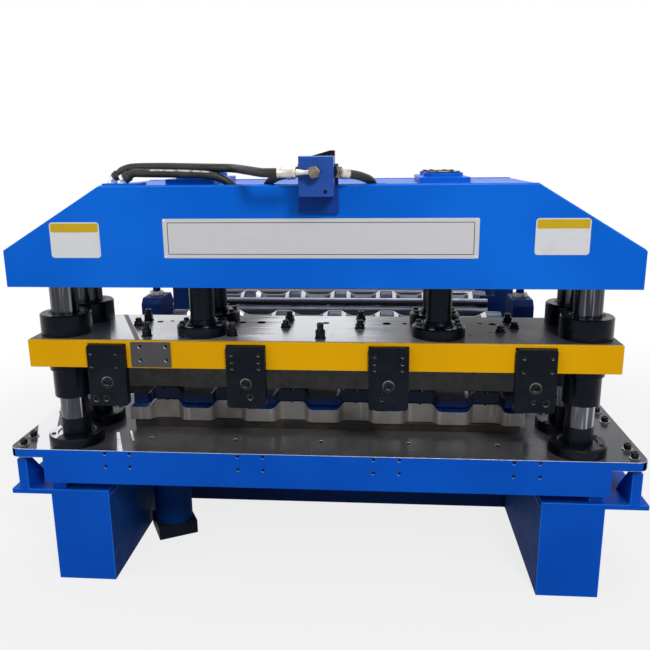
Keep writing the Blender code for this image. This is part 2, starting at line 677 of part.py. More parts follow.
def make_ram():
    """Moving plate on four bushes, with the front bar and its four black blocks."""
    plate = box(
        "ram_plate", (-RAM_HALF_WIDTH, RAM_HALF_WIDTH), (RAM_FRONT_Y, RAM_BACK_Y),
        (RAM_BOTTOM_Z, RAM_TOP_Z), GROUND,
    )
    holes = []
    for side, label in ((-1, "left"), (1, "right")):
        for row, y in zip(("front", "rear"), PILLAR_ROWS):
            make_bush(f"guide_bush_{label}_{row}", side * PILLAR_X, y)
            holes.append(rod(
                f"bush_hole_{label}_{row}", BUSH_BARREL_RADIUS + SEAT,
                (side * PILLAR_X, y, RAM_BOTTOM_Z - CUT), (side * PILLAR_X, y, RAM_TOP_Z + CUT),
                cutter=True,
            ))
        for row, y in zip(("front", "rear"), ROD_ROWS):
            make_rod(f"ram_rod_{label}_{row}", side * ROD_X, y)
    boolean(plate, holes)
    bar_y = (RAM_FRONT_Y - SEAT - RAM_BAR_THICKNESS, RAM_FRONT_Y - SEAT)
    bar = box(
        "ram_front_bar", (-RAM_HALF_WIDTH, RAM_HALF_WIDTH), bar_y, (RAM_BOTTOM_Z, RAM_TOP_Z), YELLOW
    )
    half = BLOCK_WIDTH / 2
    notches = []
    for i, x in enumerate(BLOCK_PLACES):
        notches.append(box(
            f"block_notch_{i}", (x - half - SEAT, x + half + SEAT), (bar_y[0] - CUT, bar_y[1] + CUT),
            (RAM_BOTTOM_Z - CUT, BLOCK_TOP_Z + SEAT), cutter=True,
        ))
        make_clamp_block(f"clamp_block_{i + 1}", x)
    boolean(bar, notches)


def make_clamp_block(name, x):
    """Black block let into the front bar, hanging below the moving plate, with its large screw."""
    half = BLOCK_WIDTH / 2
    back = RAM_FRONT_Y - SEAT
    front = back - BLOCK_THICKNESS
    outline = rounded_rectangle(
        (x - half, x + half), (BLOCK_BOTTOM_Z, BLOCK_TOP_Z), BLOCK_CORNER_RADIUS, steps=2
    )
    block = slab(name, outline, front, back, "Y", BLACKENED)
    z = BLOCK_TOP_Z - BLOCK_BOLT_DROP
    head = rod(
        name + "_screw", BLOCK_BOLT_RADIUS, (x, front + JOIN, z), (x, front - BLOCK_BOLT_HEIGHT, z),
        cutter=True, sides=SMALL_ROUND,
    )
    return boolean(block, [head], "UNION")


def wave_line(edge_z, half_width, swell=1.0):
    """(x, z) points of the sheet's wave across a die, with its valleys at edge_z."""
    wave = [(x, height * swell + edge_z) for x, height in sheet_wave()]
    return [(-half_width, edge_z)] + wave + [(half_width, edge_z)]


def scalloped(die, front, back, depth, half_width):
    """Cuts a die's front in plan, so that it falls back at each peak, or stands out by a depth below 0."""
    past = half_width + CUT
    plan = [(-past, front)]
    plan += [(x, front + height / WAVE_HEIGHT * depth) for x, height in sheet_wave(notch=False)]
    plan += [(past, front), (past, back + CUT), (-past, back + CUT)]
    shape = slab(die.name + "_plan", plan, BED_TOP_Z, RAM_TOP_Z, "Z", cutter=True)
    return boolean(die, [shape], "INTERSECT")


def make_dies():
    """Lower die on its base, and the upper die: a wavy blade under a block, closed on the sheet."""
    valley = DIE_PEAK_Z - WAVE_HEIGHT
    back = DIE_FRONT_Y + DIE_DEPTH
    base_bottom = BED_TOP_Z + SEAT
    base_top = base_bottom + DIE_BASE_HEIGHT
    half = DIE_HALF_WIDTH - DIE_BASE_MARGIN
    box(
        "die_base", (-half, half), (DIE_FRONT_Y + DIE_BASE_MARGIN, back),
        (base_bottom, base_top), BED_STEEL,
    )
    low = base_top + SEAT
    outline = wave_line(valley, DIE_HALF_WIDTH) + [(DIE_HALF_WIDTH, low), (-DIE_HALF_WIDTH, low)]
    lower = slab("lower_die", outline, DIE_FRONT_Y - JOIN, back, "Y", DIE_STEEL)
    scalloped(lower, DIE_FRONT_Y, back, DIE_SCALLOP, DIE_HALF_WIDTH)
    blade_half = DIE_HALF_WIDTH - UPPER_BLADE_SIDE
    blade_valley = valley + MOTION_GAP
    blade_front = DIE_FRONT_Y + UPPER_BLADE_SETBACK
    blade_back = blade_front + UPPER_BLADE_DEPTH
    outline = wave_line(blade_valley, blade_half)
    outline += reversed(wave_line(blade_valley + UPPER_BLADE_HEIGHT, blade_half, UPPER_BLADE_SWELL))
    reach = max(-UPPER_BLADE_SCALLOP, 0.0) + JOIN
    blade = slab("upper_die_blade", outline, blade_front - reach, blade_back, "Y", DIE_BLACK)
    scalloped(blade, blade_front, blade_back, UPPER_BLADE_SCALLOP, blade_half)
    holder_bottom = blade_valley + UPPER_BLADE_HEIGHT + UPPER_BLADE_SWELL * WAVE_HEIGHT + SEAT
    box(
        "upper_die_holder", (-DIE_HALF_WIDTH, DIE_HALF_WIDTH), (DIE_FRONT_Y + UPPER_HOLDER_SETBACK, back),
        (holder_bottom, RAM_BOTTOM_Z - SEAT), DIE_BLACK,
    )


def make_roll(name, y, z, upper):
    """One shaft with its six profiled rings: the upper roll is proud where the lower one is hollow."""
    end = ROLL_HALF_WIDTH
    tip = STAND_INNER_X + STAND_THICKNESS + SHAFT_OVERHANG
    sign = -1 if upper else 1
    rings = [
        (ROLL_BODY_RADIUS + sign * (height - WAVE_HEIGHT / 2), x)
        for x, height in sheet_wave(ROLL_WAVE_SHAPE, notch=False)
    ]
    land = ROLL_BODY_RADIUS - sign * WAVE_HEIGHT / 2
    profile = [(0.0, tip), (SHAFT_RADIUS, tip), (SHAFT_RADIUS, end), (land, end)]
    profile += reversed(rings)
    profile += [(land, -end), (SHAFT_RADIUS, -end), (SHAFT_RADIUS, -tip), (0.0, -tip)]
    return turned(name, profile, (0, y, z), direction="X", material=CHROME, sides=ROLL_SIDES)


def make_side_frame(name, side):
    """Box-section rail on the floor with a bearing stand for each bay on top of it."""
    centre = side * (STAND_INNER_X + STAND_THICKNESS / 2)
    top = RAIL_HEIGHT
    half = RAIL_WIDTH / 2
    frame = box(name, (centre - half, centre + half), (RAIL_FRONT_Y, RAIL_BACK_Y), (0.0, top), DARK_BLUE)
    stands = []
    bores = []
    inner = side * STAND_INNER_X
    outer = side * (STAND_INNER_X + STAND_THICKNESS)
    for bay, y in enumerate(BAY_ROWS):
        outline = [
            (y - STAND_HALF_DEPTH, top - JOIN), (y - STAND_HALF_DEPTH, STAND_TOP_Z - STAND_CORNER),
            (y - STAND_HALF_DEPTH + STAND_CORNER, STAND_TOP_Z),
            (y + STAND_HALF_DEPTH - STAND_CORNER, STAND_TOP_Z),
            (y + STAND_HALF_DEPTH, STAND_TOP_Z - STAND_CORNER), (y + STAND_HALF_DEPTH, top - JOIN),
        ]
        stands.append(slab(f"{name}_stand_{bay}", outline, inner, outer, "X", cutter=True))
        stands.append(rod(
            f"{name}_adjuster_{bay}", ADJUSTER_RADIUS, (centre, y, STAND_TOP_Z - CUT),
            (centre, y, STAND_TOP_Z + ADJUSTER_HEIGHT), cutter=True, sides=SMALL_ROUND,
        ))
        for level, z in (("low", LOWER_ROLL_Z), ("high", UPPER_ROLL_Z)):
            bores.append(rod(
                f"{name}_bore_{bay}_{level}", SHAFT_RADIUS + SLIDE_FIT, (inner - side * CUT, y, z),
                (outer + side * CUT, y, z), cutter=True, sides=ROLL_SIDES,
            ))
    boolean(frame, stands, "UNION")
    boolean(frame, bores)
    return frame


def make_forming_section():
    make_side_frame("left_side_frame", -1)
    make_side_frame("right_side_frame", 1)
    rail_inner = STAND_INNER_X + STAND_THICKNESS / 2 - RAIL_WIDTH / 2 - SEAT
    for place, y in (("front", RAIL_FRONT_Y), ("rear", RAIL_BACK_Y - CROSS_MEMBER_DEPTH)):
        box(
            f"{place}_cross_member", (-rail_inner, rail_inner), (y, y + CROSS_MEMBER_DEPTH),
            (0.0, CROSS_MEMBER_HEIGHT), DARK_BLUE,
        )
    for bay, y in enumerate(BAY_ROWS, start=1):
        make_roll(f"lower_roll_{bay}", y, LOWER_ROLL_Z, upper=False)
        make_roll(f"upper_roll_{bay}", y, UPPER_ROLL_Z, upper=True)


def make_hose(name, route):
    """A pressure hose through the route's points: straight at its two fittings, curved between them."""
    points = [Vector(point) for point in route]
    samples = []
    for i in range(len(points) - 1):
        before = points[max(i - 1, 0)]
        after = points[min(i + 2, len(points) - 1)]
        start, end = points[i], points[i + 1]
        at_fitting = i in (0, len(points) - 2)
        count = 1 if at_fitting else max(2, round((end - start).length / (3 * HOSE_RADIUS)))
        for k in range(count):
            t = k / count
            samples.append(
                0.5 * ((2 * start) + (end - before) * t
                       + (2 * before - 5 * start + 4 * end - after) * t * t
                       + (3 * start - before - 3 * end + after) * t ** 3)
            )
    samples.append(points[-1])
    curve = bpy.data.curves.new(name, "CURVE")
    curve.dimensions = "3D"
    curve.bevel_depth = HOSE_RADIUS
    curve.bevel_resolution = 2
    curve.use_fill_caps = True
    spline = curve.splines.new("POLY")
    spline.points.add(len(samples) - 1)
    for point, place in zip(spline.points, samples):
        point.co = (*place, 1.0)
    hose = bpy.data.objects.new(name, curve)
    MODEL.objects.link(hose)
    curve.materials.append(RUBBER)
    return hose


def make_hydraulics():
    """Manifold block on its plate, the couplings on the beam's left end, and the four hoses."""
    plate_back = BEAM_FRONT_Y - SEAT
    plate_front = plate_back - BLOCK_PLATE_THICKNESS
    block_front = plate_front - MANIFOLD_DEPTH
    manifold = box("manifold_block", MANIFOLD_X, (block_front, plate_front + JOIN), MANIFOLD_Z, BLUE)
    elbow_x = MANIFOLD_X[0] + ELBOW_FROM_SIDE
    elbow_y = block_front - ELBOW_REACH
    elbow_z = MANIFOLD_Z[1] - ELBOW_DROP
    ferrule_x = MANIFOLD_X[0] - FERRULE_GAP
    port_y = block_front + MANIFOLD_DEPTH / 2
    right_way = Vector(SIDE_PORT_WAY).normalized()
    left_way = Vector((-right_way.x, right_way.y, right_way.z))
    left_root = Vector((MANIFOLD_X[0], port_y, elbow_z))
    right_root = Vector((MANIFOLD_X[1], port_y, elbow_z))
    left_port = left_root + left_way * PORT_LENGTH
    right_port = right_root + right_way * PORT_LENGTH
    shapes = [
        box("manifold_plate", BLOCK_PLATE_X, (plate_front, plate_back), BLOCK_PLATE_Z, cutter=True),
        box(
            "manifold_plug", PLUG_X, (plate_front - PLUG_DEPTH - CUT, plate_front - CUT),
            (MANIFOLD_Z[1] - JOIN, MANIFOLD_Z[1] + PLUG_HEIGHT), cutter=True,
        ),
        rod(
            "elbow_nut", ELBOW_NUT_RADIUS, (elbow_x, block_front + JOIN, elbow_z),
            (elbow_x, elbow_y - ELBOW_STEM_RADIUS, elbow_z), cutter=True, sides=6,
        ),
        rod(
            "elbow_stem", ELBOW_STEM_RADIUS, (elbow_x, elbow_y, elbow_z),
            (ferrule_x - JOIN, elbow_y, elbow_z), cutter=True, sides=SMALL_ROUND,
        ),
        rod(
            "elbow_ferrule", FERRULE_RADIUS, (ferrule_x, elbow_y, elbow_z),
            (ferrule_x - FERRULE_LENGTH, elbow_y, elbow_z), cutter=True, sides=SMALL_ROUND,
        ),
        rod("left_port", PORT_RADIUS, left_root - left_way * CUT, left_port, cutter=True, sides=SMALL_ROUND),
        rod("right_port", PORT_RADIUS, right_root - right_way * CUT, right_port, cutter=True, sides=SMALL_ROUND),
    ]
    boolean(manifold, shapes, "UNION")
    couplings = box(
        "hose_couplings", COUPLING_PLATE_X, COUPLING_PLATE_Y,
        (COUPLING_BASE_Z, COUPLING_BASE_Z + COUPLING_PLATE_THICKNESS), BLUE,
    )
    stubs = []
    exits = []
    for i, (x, y, degrees) in enumerate((FRONT_COUPLING, REAR_COUPLING)):
        angle = math.radians(degrees)
        way = Vector((math.cos(angle), 0.0, math.sin(angle)))
        root = Vector((x, y, COUPLING_BASE_Z + PORT_RADIUS * math.cos(angle) + JOIN / 2))
        foot = Vector((x, y, COUPLING_BASE_Z + JOIN))
        stubs.append(rod(
            f"coupling_foot_{i}", COUPLING_FOOT_RADIUS, foot, root, cutter=True, sides=SMALL_ROUND,
        ))
        stubs.append(rod(
            f"coupling_{i}", PORT_RADIUS, root, root + way * COUPLING_LENGTH, cutter=True, sides=SMALL_ROUND,
        ))
        start = root + way * (COUPLING_LENGTH + SEAT)
        exits.append([start, start + way * HOSE_RADIUS])
    boolean(couplings, stubs, "UNION")
    end_x = ferrule_x - FERRULE_LENGTH - SEAT
    make_hose("pressure_hose_front", exits[0] + FRONT_HOSE_POINTS + [
        (end_x - PORT_LENGTH, elbow_y, elbow_z), (end_x, elbow_y, elbow_z),
    ])
    make_hose("pressure_hose_rear", exits[1] + REAR_HOSE_POINTS + [
        (PORT_LENGTH - BARREL_PORT_X, ROD_ROWS[1], RETURN_PORT_Z),
        (SEAT - BARREL_PORT_X, ROD_ROWS[1], RETURN_PORT_Z),
    ])
    make_hose("pressure_hose_right", [
        right_port + right_way * SEAT, right_port + right_way * PORT_LENGTH, *RIGHT_HOSE_POINTS,
        (BARREL_PORT_X - PORT_LENGTH, ROD_ROWS[0], FEED_PORT_Z), (BARREL_PORT_X - SEAT, ROD_ROWS[0], FEED_PORT_Z),
    ])
    make_hose("pressure_hose_left", [
        left_port + left_way * SEAT, left_port + left_way * PORT_LENGTH, *LEFT_HOSE_POINTS,
        (PORT_LENGTH - BARREL_PORT_X, ROD_ROWS[0], FEED_PORT_Z), (SEAT - BARREL_PORT_X, ROD_ROWS[0], FEED_PORT_Z),
    ])


make_bed()
make_foot("left_foot", -1)
make_foot("right_foot", 1)
make_jack_leg()
for side_name, direction in (("left", -1), ("right", 1)):
    for row_name, row_y in zip(("front", "rear"), PILLAR_ROWS):
        make_pillar(f"pillar_{side_name}_{row_name}", direction * PILLAR_X, row_y)
    make_cylinder_pair(f"{side_name}_cylinder_pair", direction)
make_crossbeam()
make_ram()
make_dies()
make_forming_section()
make_hydraulics()
for obj in list(MODEL.objects) + list(CUTTERS.objects):
    obj.location.y -= CENTRE_Y
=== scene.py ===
"""Looks of the roll forming machine: exit press with tile dies, and the last forming bays behind it."""

import math

import bmesh
import bpy
from mathutils import Matrix, Vector


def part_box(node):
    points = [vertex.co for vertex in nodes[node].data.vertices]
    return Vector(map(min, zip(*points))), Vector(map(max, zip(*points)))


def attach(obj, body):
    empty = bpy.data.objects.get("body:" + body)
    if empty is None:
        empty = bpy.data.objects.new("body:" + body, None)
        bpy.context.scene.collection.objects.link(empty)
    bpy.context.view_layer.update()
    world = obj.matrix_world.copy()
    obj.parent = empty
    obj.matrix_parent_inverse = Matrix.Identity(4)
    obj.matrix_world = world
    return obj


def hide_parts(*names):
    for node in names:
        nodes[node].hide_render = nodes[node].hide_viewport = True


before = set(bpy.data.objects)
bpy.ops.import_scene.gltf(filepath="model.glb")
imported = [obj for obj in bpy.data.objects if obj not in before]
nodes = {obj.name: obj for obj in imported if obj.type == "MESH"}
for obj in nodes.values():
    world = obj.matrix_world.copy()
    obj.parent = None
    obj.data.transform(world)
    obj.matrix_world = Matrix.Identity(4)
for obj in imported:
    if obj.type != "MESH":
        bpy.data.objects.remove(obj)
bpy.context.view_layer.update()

# The camera stands at eye height, a little right of the press's middle, and looks down at it.
# Its place, turn and angle of view were fitted to the edges of the bed, pillars and crossbeam.
bed_low, bed_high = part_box("bed_plate")
EDGE_Y = bed_low.y
YAW = 0.0793
PITCH = 0.238
ROLL = -0.0101
ahead = Vector((-math.sin(YAW) * math.cos(PITCH), math.cos(YAW) * math.cos(PITCH), -math.sin(PITCH)))
level = Vector((math.cos(YAW), math.sin(YAW), 0))
upright = level.cross(ahead)
turned_right = level * math.cos(ROLL) + upright * math.sin(ROLL)
turned_up = upright * math.cos(ROLL) - level * math.sin(ROLL)


def placed(name, data):
    """A new object in the scene."""
    made = bpy.data.objects.new(name, data)
    bpy.context.scene.collection.objects.link(made)
    return made


EYE = (0.1611, EDGE_Y - 1.7547, 1.2118)
camera = placed("camera", bpy.data.cameras.new("camera"))
camera.data.sensor_width = 36
camera.data.lens = 38.99
camera.data.clip_end = 200
camera.matrix_world = Matrix.Translation(EYE) @ Matrix((
    (turned_right.x, turned_up.x, -ahead.x, 0),
    (turned_right.y, turned_up.y, -ahead.y, 0),
    (turned_right.z, turned_up.z, -ahead.z, 0),
    (0, 0, 0, 1),
))
bpy.context.scene.camera = camera


# Pressure hoses: black rubber over steel braid, about 21 mm thick, with a wrapped-cloth surface.
# Each runs from a coupling to a port of the press and is crimped into a plated sleeve at both ends.
class Value:
    """A socket of a finish's nodes: sums on it add the Math nodes that work them out."""

    def __init__(self, tree, socket):
        self.tree = tree
        self.socket = socket

    def node(self, kind, settings=None, inputs=None, output=0):
        """Adds a node of a kind, sets it up, and gives it the values or links of its sockets."""
        made = self.tree.nodes.new(kind)
        for key, value in (settings or {}).items():
            setattr(made, key, value)
        for key, value in (inputs or {}).items():
            feed(self.tree, made.inputs[key], value)
        return Value(self.tree, made.outputs[output])

    def sum(self, operation, other, swapped=False):
        first, second = (other, self) if swapped else (self, other)
        return self.node("ShaderNodeMath", {"operation": operation}, {0: first, 1: second})

    def __add__(self, other):
        return self.sum("ADD", other)

    def __sub__(self, other):
        return self.sum("SUBTRACT", other)

    def __rsub__(self, other):
        return self.sum("SUBTRACT", other, swapped=True)

    def __mul__(self, other):
        return self.sum("MULTIPLY", other)

    __radd__ = __add__
    __rmul__ = __mul__

    def stretched(self, by):
        return self.node("ShaderNodeVectorMath", {"operation": "MULTIPLY"}, {0: self, 1: by})

    def noise(self, scale, detail=3, roughness=0.5):
        inputs = {"Vector": self, "Scale": scale, "Detail": detail, "Roughness": roughness}
        return self.node("ShaderNodeTexNoise", None, inputs)

    def between(self, low, high):
        """0 below low, 1 above high, smooth from one to the other."""
        inputs = {0: self, 1: low, 2: high, 3: 0, 4: 1}
        return self.node("ShaderNodeMapRange", {"interpolation_type": "SMOOTHSTEP"}, inputs)

    def within(self, rise, fall):
        """1 between a rise and a fall, each a (low, high) pair, else 0."""
        return self.between(*rise) - self.between(*fall)

    def choose(self, first, second):
        """The first colour where this is 0, the second where it is 1."""
        return self.node("ShaderNodeMix", {"data_type": "RGBA"}, {0: self, 6: first, 7: second}, 2)

    def reach(self):
        """How far a point is from the middle of the machine."""
        return self.node("ShaderNodeVectorMath", {"operation": "LENGTH"}, {0: self}, 1)

    def axis(self, index):
        return self.node("ShaderNodeSeparateXYZ", None, {0: self}, index)


def feed(tree, socket, value):
    """Links a value to a socket, or sets the socket to a number, a vector or a colour without its alpha."""
    if isinstance(value, Value):
        tree.links.new(value.socket, socket)
    else:
        socket.default_value = (*value, 1) if socket.type == "RGBA" else value


def start_finish(name):
    """A new material, and the position in metres on the machine as a value to work from."""
    material = bpy.data.materials.new(name)
    material.use_nodes = True
    place = material.node_tree.nodes.new("ShaderNodeTexCoord")
    return material, Value(material.node_tree, place.outputs["Object"])


def end_finish(material, bump=None, height=0, **sockets):
    """Gives the material's shader its values, and a bump of a height in metres."""
    tree = material.node_tree
    if bump is not None:
        wanted = {"Height": bump, "Distance": height, "Strength": 1}
        sockets["Normal"] = bump.node("ShaderNodeBump", None, wanted)
    for key, value in sockets.items():
        feed(tree, tree.nodes["Principled BSDF"].inputs[key.replace("_", " ")], value)
    return material


def patchy(name, slot, noise, limits, colours, rough, share=None, grain=None, height=0, **sockets):
    """A finish whose colour and roughness go from one value to another in soft patches."""
    material, place = start_finish(name)
    patch = place.noise(*noise).between(*limits)
    mixed = (patch * share if share else patch).choose(*colours)
    bump = place.noise(*grain) if grain else None
    uneven = rough[0] + rough[1] * patch
    return end_finish(material, bump, height, Base_Color=mixed, Roughness=uneven, **sockets)


def facing(place, index=2):
    """How far the surface faces along an axis, -1 to 1."""
    normal = place.node("ShaderNodeNewGeometry", None, None, 1)
    return normal.axis(index)


rubber, place = start_finish("hose_rubber")
wrap = place.stretched((1, 0.25, 1)).noise(420, 2)
dust = place.noise(14, 4).between(0.45, 0.75)
end_finish(
    rubber, bump=wrap, height=0.0006,
    Base_Color=(dust * 0.6).choose((0.013, 0.013, 0.014), (0.046, 0.044, 0.043)),
    Roughness=0.38 + 0.2 * dust, Specular_IOR_Level=0.3,
)

plated, place = start_finish("plated_steel")
smear = place.noise(60, 3)
end_finish(
    plated, bump=place.noise(900, 2), height=0.00005,
    Base_Color=smear.between(0.3, 0.7).choose((0.5, 0.47, 0.42), (0.68, 0.65, 0.6)),
    Roughness=0.18 + 0.25 * smear, Metallic=1,
)


def circle(radius, height, count):
    """Points round the Z axis at a height."""
    angles = [2 * math.pi * i / count for i in range(count)]
    return [(radius * math.cos(angle), radius * math.sin(angle), height) for angle in angles]


def turn(profile, sides=64, closed=False):
    """Points and faces of a lathe-turned shape from (radius, height) points up its outside."""
    points = []
    rings = []
    for radius, height in profile:
        ring = circle(radius, height, sides) if radius else [(0, 0, height)]
        rings.append(range(len(points), len(points) + len(ring)))
        points += ring
    faces = []
    pairs = list(zip(rings, rings[1:]))
    if closed:
        pairs.append((rings[-1], rings[0]))
    for low, high in pairs:
        for i in range(sides):
            j = (i + 1) % sides
            if len(low) == 1 and len(high) > 1:
                faces.append((low[0], high[j], high[i]))
            elif len(high) == 1 and len(low) > 1:
                faces.append((low[i], low[j], high[0]))
            elif len(low) > 1:
                faces.append((low[i], low[j], high[j], high[i]))
    return points, faces


def solid(profile, sides=64):
    """A turned shape whose two ends are filled to the axis."""
    return turn([(0, profile[0][1]), *profile, (0, profile[-1][1])], sides)


def moved(shape, origin=(0, 0, 0), axis="Z", angle=0):
    """A shape turned so that its height runs along an axis or a direction, and put at a place."""
    ways = {
        "Z": Matrix.Identity(4),
        "X": Matrix.Rotation(math.pi / 2, 4, "Y"),
        "-X": Matrix.Rotation(-math.pi / 2, 4, "Y"),
        "-Y": Matrix.Rotation(math.pi / 2, 4, "X"),
    }
    way = ways[axis] if isinstance(axis, str) else axis.to_track_quat("Z", "Y").to_matrix().to_4x4()
    matrix = Matrix.Translation(origin) @ way @ Matrix.Rotation(angle, 4, "Z")
    points, faces = shape
    return [tuple(matrix @ Vector(point)) for point in points], faces


def joined(shapes):
    points = []
    faces = []
    for more_points, more_faces in shapes:
        start = len(points)
        points += more_points
        faces += [tuple(start + i for i in face) for face in more_faces]
    return points, faces


def block(x, y, z):
    """A rectangular block between two values on each axis."""
    points = [(a, b, c) for c in z for b in y for a in x]
    faces = [(0, 2, 3, 1), (4, 5, 7, 6), (0, 1, 5, 4), (2, 6, 7, 3), (0, 4, 6, 2), (1, 3, 7, 5)]
    return points, faces


def prism(outline, start, end, axis="Z"):
    """A flat outline given thickness: (x, y) points along Z, (x, z) points along Y, (y, z) along X."""
    count = len(outline)
    order = {"Z": lambda a, b, t: (a, b, t), "Y": lambda a, b, t: (a, t, b), "X": lambda a, b, t: (t, a, b)}
    points = [order[axis](a, b, t) for t in (start, end) for a, b in outline]
    faces = [tuple(reversed(range(count))), tuple(range(count, 2 * count))]
    faces += [(i, (i + 1) % count, count + (i + 1) % count, count + i) for i in range(count)]
    return points, faces


def cleaned(mesh, whole=False):
    """A mesh with its faces turned outwards, and its flat faces made whole if that is asked for."""
    bm = bmesh.new()
    bm.from_mesh(mesh)
    if whole:
        bmesh.ops.remove_doubles(bm, verts=bm.verts, dist=0.00002)
        bmesh.ops.dissolve_limit(bm, angle_limit=0.004, verts=bm.verts, edges=bm.edges)
    bmesh.ops.recalc_face_normals(bm, faces=bm.faces)
    bm.to_mesh(mesh)
    bm.free()
    return mesh


def dress(piece, finish, body, instead_of, bevel=0, edge=None, sharp=35, slot=None):
    """Gives a piece its finish and bevelled edges, and says what it rides on and replaces; the slot it is made
    of is not used.
    """
    piece.data.materials.clear()
    piece.data.materials.append(finish)
    piece.data.shade_smooth()
    piece.data.set_sharp_from_angle(angle=math.radians(sharp))
    if bevel:
        rounding = piece.modifiers.new("rounding", "BEVEL")
        rounding.width = bevel
        rounding.segments = 3
        rounding.limit_method = "ANGLE"
        rounding.angle_limit = math.radians(40)
        rounding.harden_normals = True
        if edge:
            piece.data.materials.append(edge)
            rounding.material = 1
    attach(piece, body)
    if instead_of:
        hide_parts(instead_of)
    return piece


def show(name, shape, finish, body="machine_frame", instead_of=None, **looks):
    """Makes a shape, or a list of them, a piece of the machine that rides on a body."""
    points, faces = joined(shape) if isinstance(shape, list) else shape
    mesh = bpy.data.meshes.new(name)
    mesh.from_pydata(points, [], faces)
    return dress(placed(name, cleaned(mesh)), finish, body, instead_of, **looks)


def redressed(node, finish, body="machine_frame", bevel=0.0015, **looks):
    """A piece with a CAD node's own shape, its flat faces made whole and its edges rounded."""
    mesh = cleaned(nodes[node].data.copy(), whole=True)
    return dress(placed(node + "_finished", mesh), finish, body, node, bevel, **looks)


HOSE_RADIUS = 0.0105
SEAT = 0.0003
couplings_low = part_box("hose_couplings")[0]
manifold_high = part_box("manifold_block")[1]
STUB_RADIUS = 0.014
STUB_LENGTH = 0.024
PORT_LENGTH = 0.03
ELBOW_Z = manifold_high.z - 0.048
RIGHT_WAY = Vector((0.8, 0.58, -0.15)).normalized()
LEFT_WAY = Vector((-RIGHT_WAY.x, RIGHT_WAY.y, RIGHT_WAY.z))
RIGHT_ROOT = Vector((0.054, EDGE_Y - 0.0908, ELBOW_Z))
LEFT_ROOT = Vector((-0.026, EDGE_Y - 0.0908, ELBOW_Z))


def stub(x, y, rise):
    """Where a coupling's stub starts on the beam's top, and the way it points."""
    angle = math.radians(rise)
    root = Vector((x, EDGE_Y + y, couplings_low.z + STUB_RADIUS * math.cos(angle) + 0.001))
    return root, Vector((math.cos(angle), 0, math.sin(angle)))


FRONT_STUB = stub(-0.522, 0.034, 42)
REAR_STUB = stub(-0.483, -0.006, 30)


def hose_route(start, between, end):
    """A route from two points at one fitting, through points measured from the bed's edge, to two more."""
    return start + [Vector((x, EDGE_Y + y, z)) for x, y, z in between + end]


def leave(root, way, straight, reach):
    """The first two points of a hose that leaves a fitting."""
    first = root + way * (reach + SEAT)
    return [first, root + way * (reach + straight)]


HOSE_ROUTES = {
    "front": hose_route(leave(*FRONT_STUB, 0.0108, STUB_LENGTH), [
        (-0.465, 0.031, 1.1835), (-0.39, 0.022, 1.1845), (-0.31, 0.014, 1.183), (-0.25, 0.01, 1.1815),
        (-0.2, -0.014, 1.1805), (-0.15, -0.09, 1.177),
    ], [(-0.1023, -0.1478, ELBOW_Z), (-0.0723, -0.1478, ELBOW_Z)]),
    "rear": hose_route(leave(*REAR_STUB, 0.0108, STUB_LENGTH), [
        (-0.42, -0.006, 1.1705), (-0.32, -0.006, 1.168), (-0.255, -0.004, 1.163), (-0.218, 0.002, 1.148),
        (-0.19, 0.01, 1.118), (-0.17, 0.026, 1.08), (-0.16, 0.08, 1.045), (-0.155, 0.14, 1.035),
        (-0.165, 0.195, 1.035), (-0.186, 0.226, 1.035),
    ], [(-0.208, 0.235, 1.035), (-0.2377, 0.235, 1.035)]),
    "right": hose_route(leave(RIGHT_ROOT, RIGHT_WAY, PORT_LENGTH, PORT_LENGTH), [
        (0.122, -0.037, 1.157), (0.138, -0.015, 1.147), (0.152, 0.012, 1.122), (0.176, 0.048, 1.096),
    ], [(0.208, 0.08, 1.085), (0.2377, 0.08, 1.085)]),
    "left": hose_route(leave(LEFT_ROOT, LEFT_WAY, PORT_LENGTH, PORT_LENGTH), [
        (-0.094, -0.037, 1.157), (-0.11, -0.015, 1.147), (-0.128, 0.014, 1.124), (-0.16, 0.05, 1.105),
    ], [(-0.208, 0.08, 1.085), (-0.2377, 0.08, 1.085)]),
}


def curved_line(route, steps=8):
    """A smooth line through a route's points, straight along the fittings at both ends."""
    line = []
    for i in range(len(route) - 1):
        before, start = route[max(i - 1, 0)], route[i]
        end, after = route[i + 1], route[min(i + 2, len(route) - 1)]
        count = 1 if i in (0, len(route) - 2) else steps
        for k in range(count):
            t = k / count
            line.append(0.5 * (
                2 * start + (end - before) * t + (2 * before - 5 * start + 4 * end - after) * t * t
                + (3 * start - before - 3 * end + after) * t ** 3
            ))
    return line + [route[-1]]


# A pale stripe runs along the lower hose in place of the maker's marking, worn thin in places.
pale = patchy(
    "hose_stripe", "hose_rubber", (90, 4, 0.7), (0.46, 0.58),
    ((0.46, 0.46, 0.45), (0.1, 0.1, 0.1)), (0.5, 0.1),
)
stripe_points = []
rear_line = curved_line(HOSE_ROUTES["rear"])
for before, here, after in zip(rear_line, rear_line[1:], rear_line[2:]):
    if -0.415 < here.x < -0.255:
        way = (after - before).normalized()
        near = way.cross(Vector((0, 0, 1))).normalized()
        over = near.cross(way)
        for degrees in (30, 44, 58):
            angle = math.radians(degrees)
            outwards = math.cos(angle) * over + math.sin(angle) * near
            stripe_points.append(tuple(here + (HOSE_RADIUS + 0.0002) * outwards))
strips = [3 * i + k for i in range(len(stripe_points) // 3 - 1) for k in (0, 1)]
stripe = show("hose_stripe", (stripe_points, [(a, a + 1, a + 4, a + 3) for a in strips]), pale)

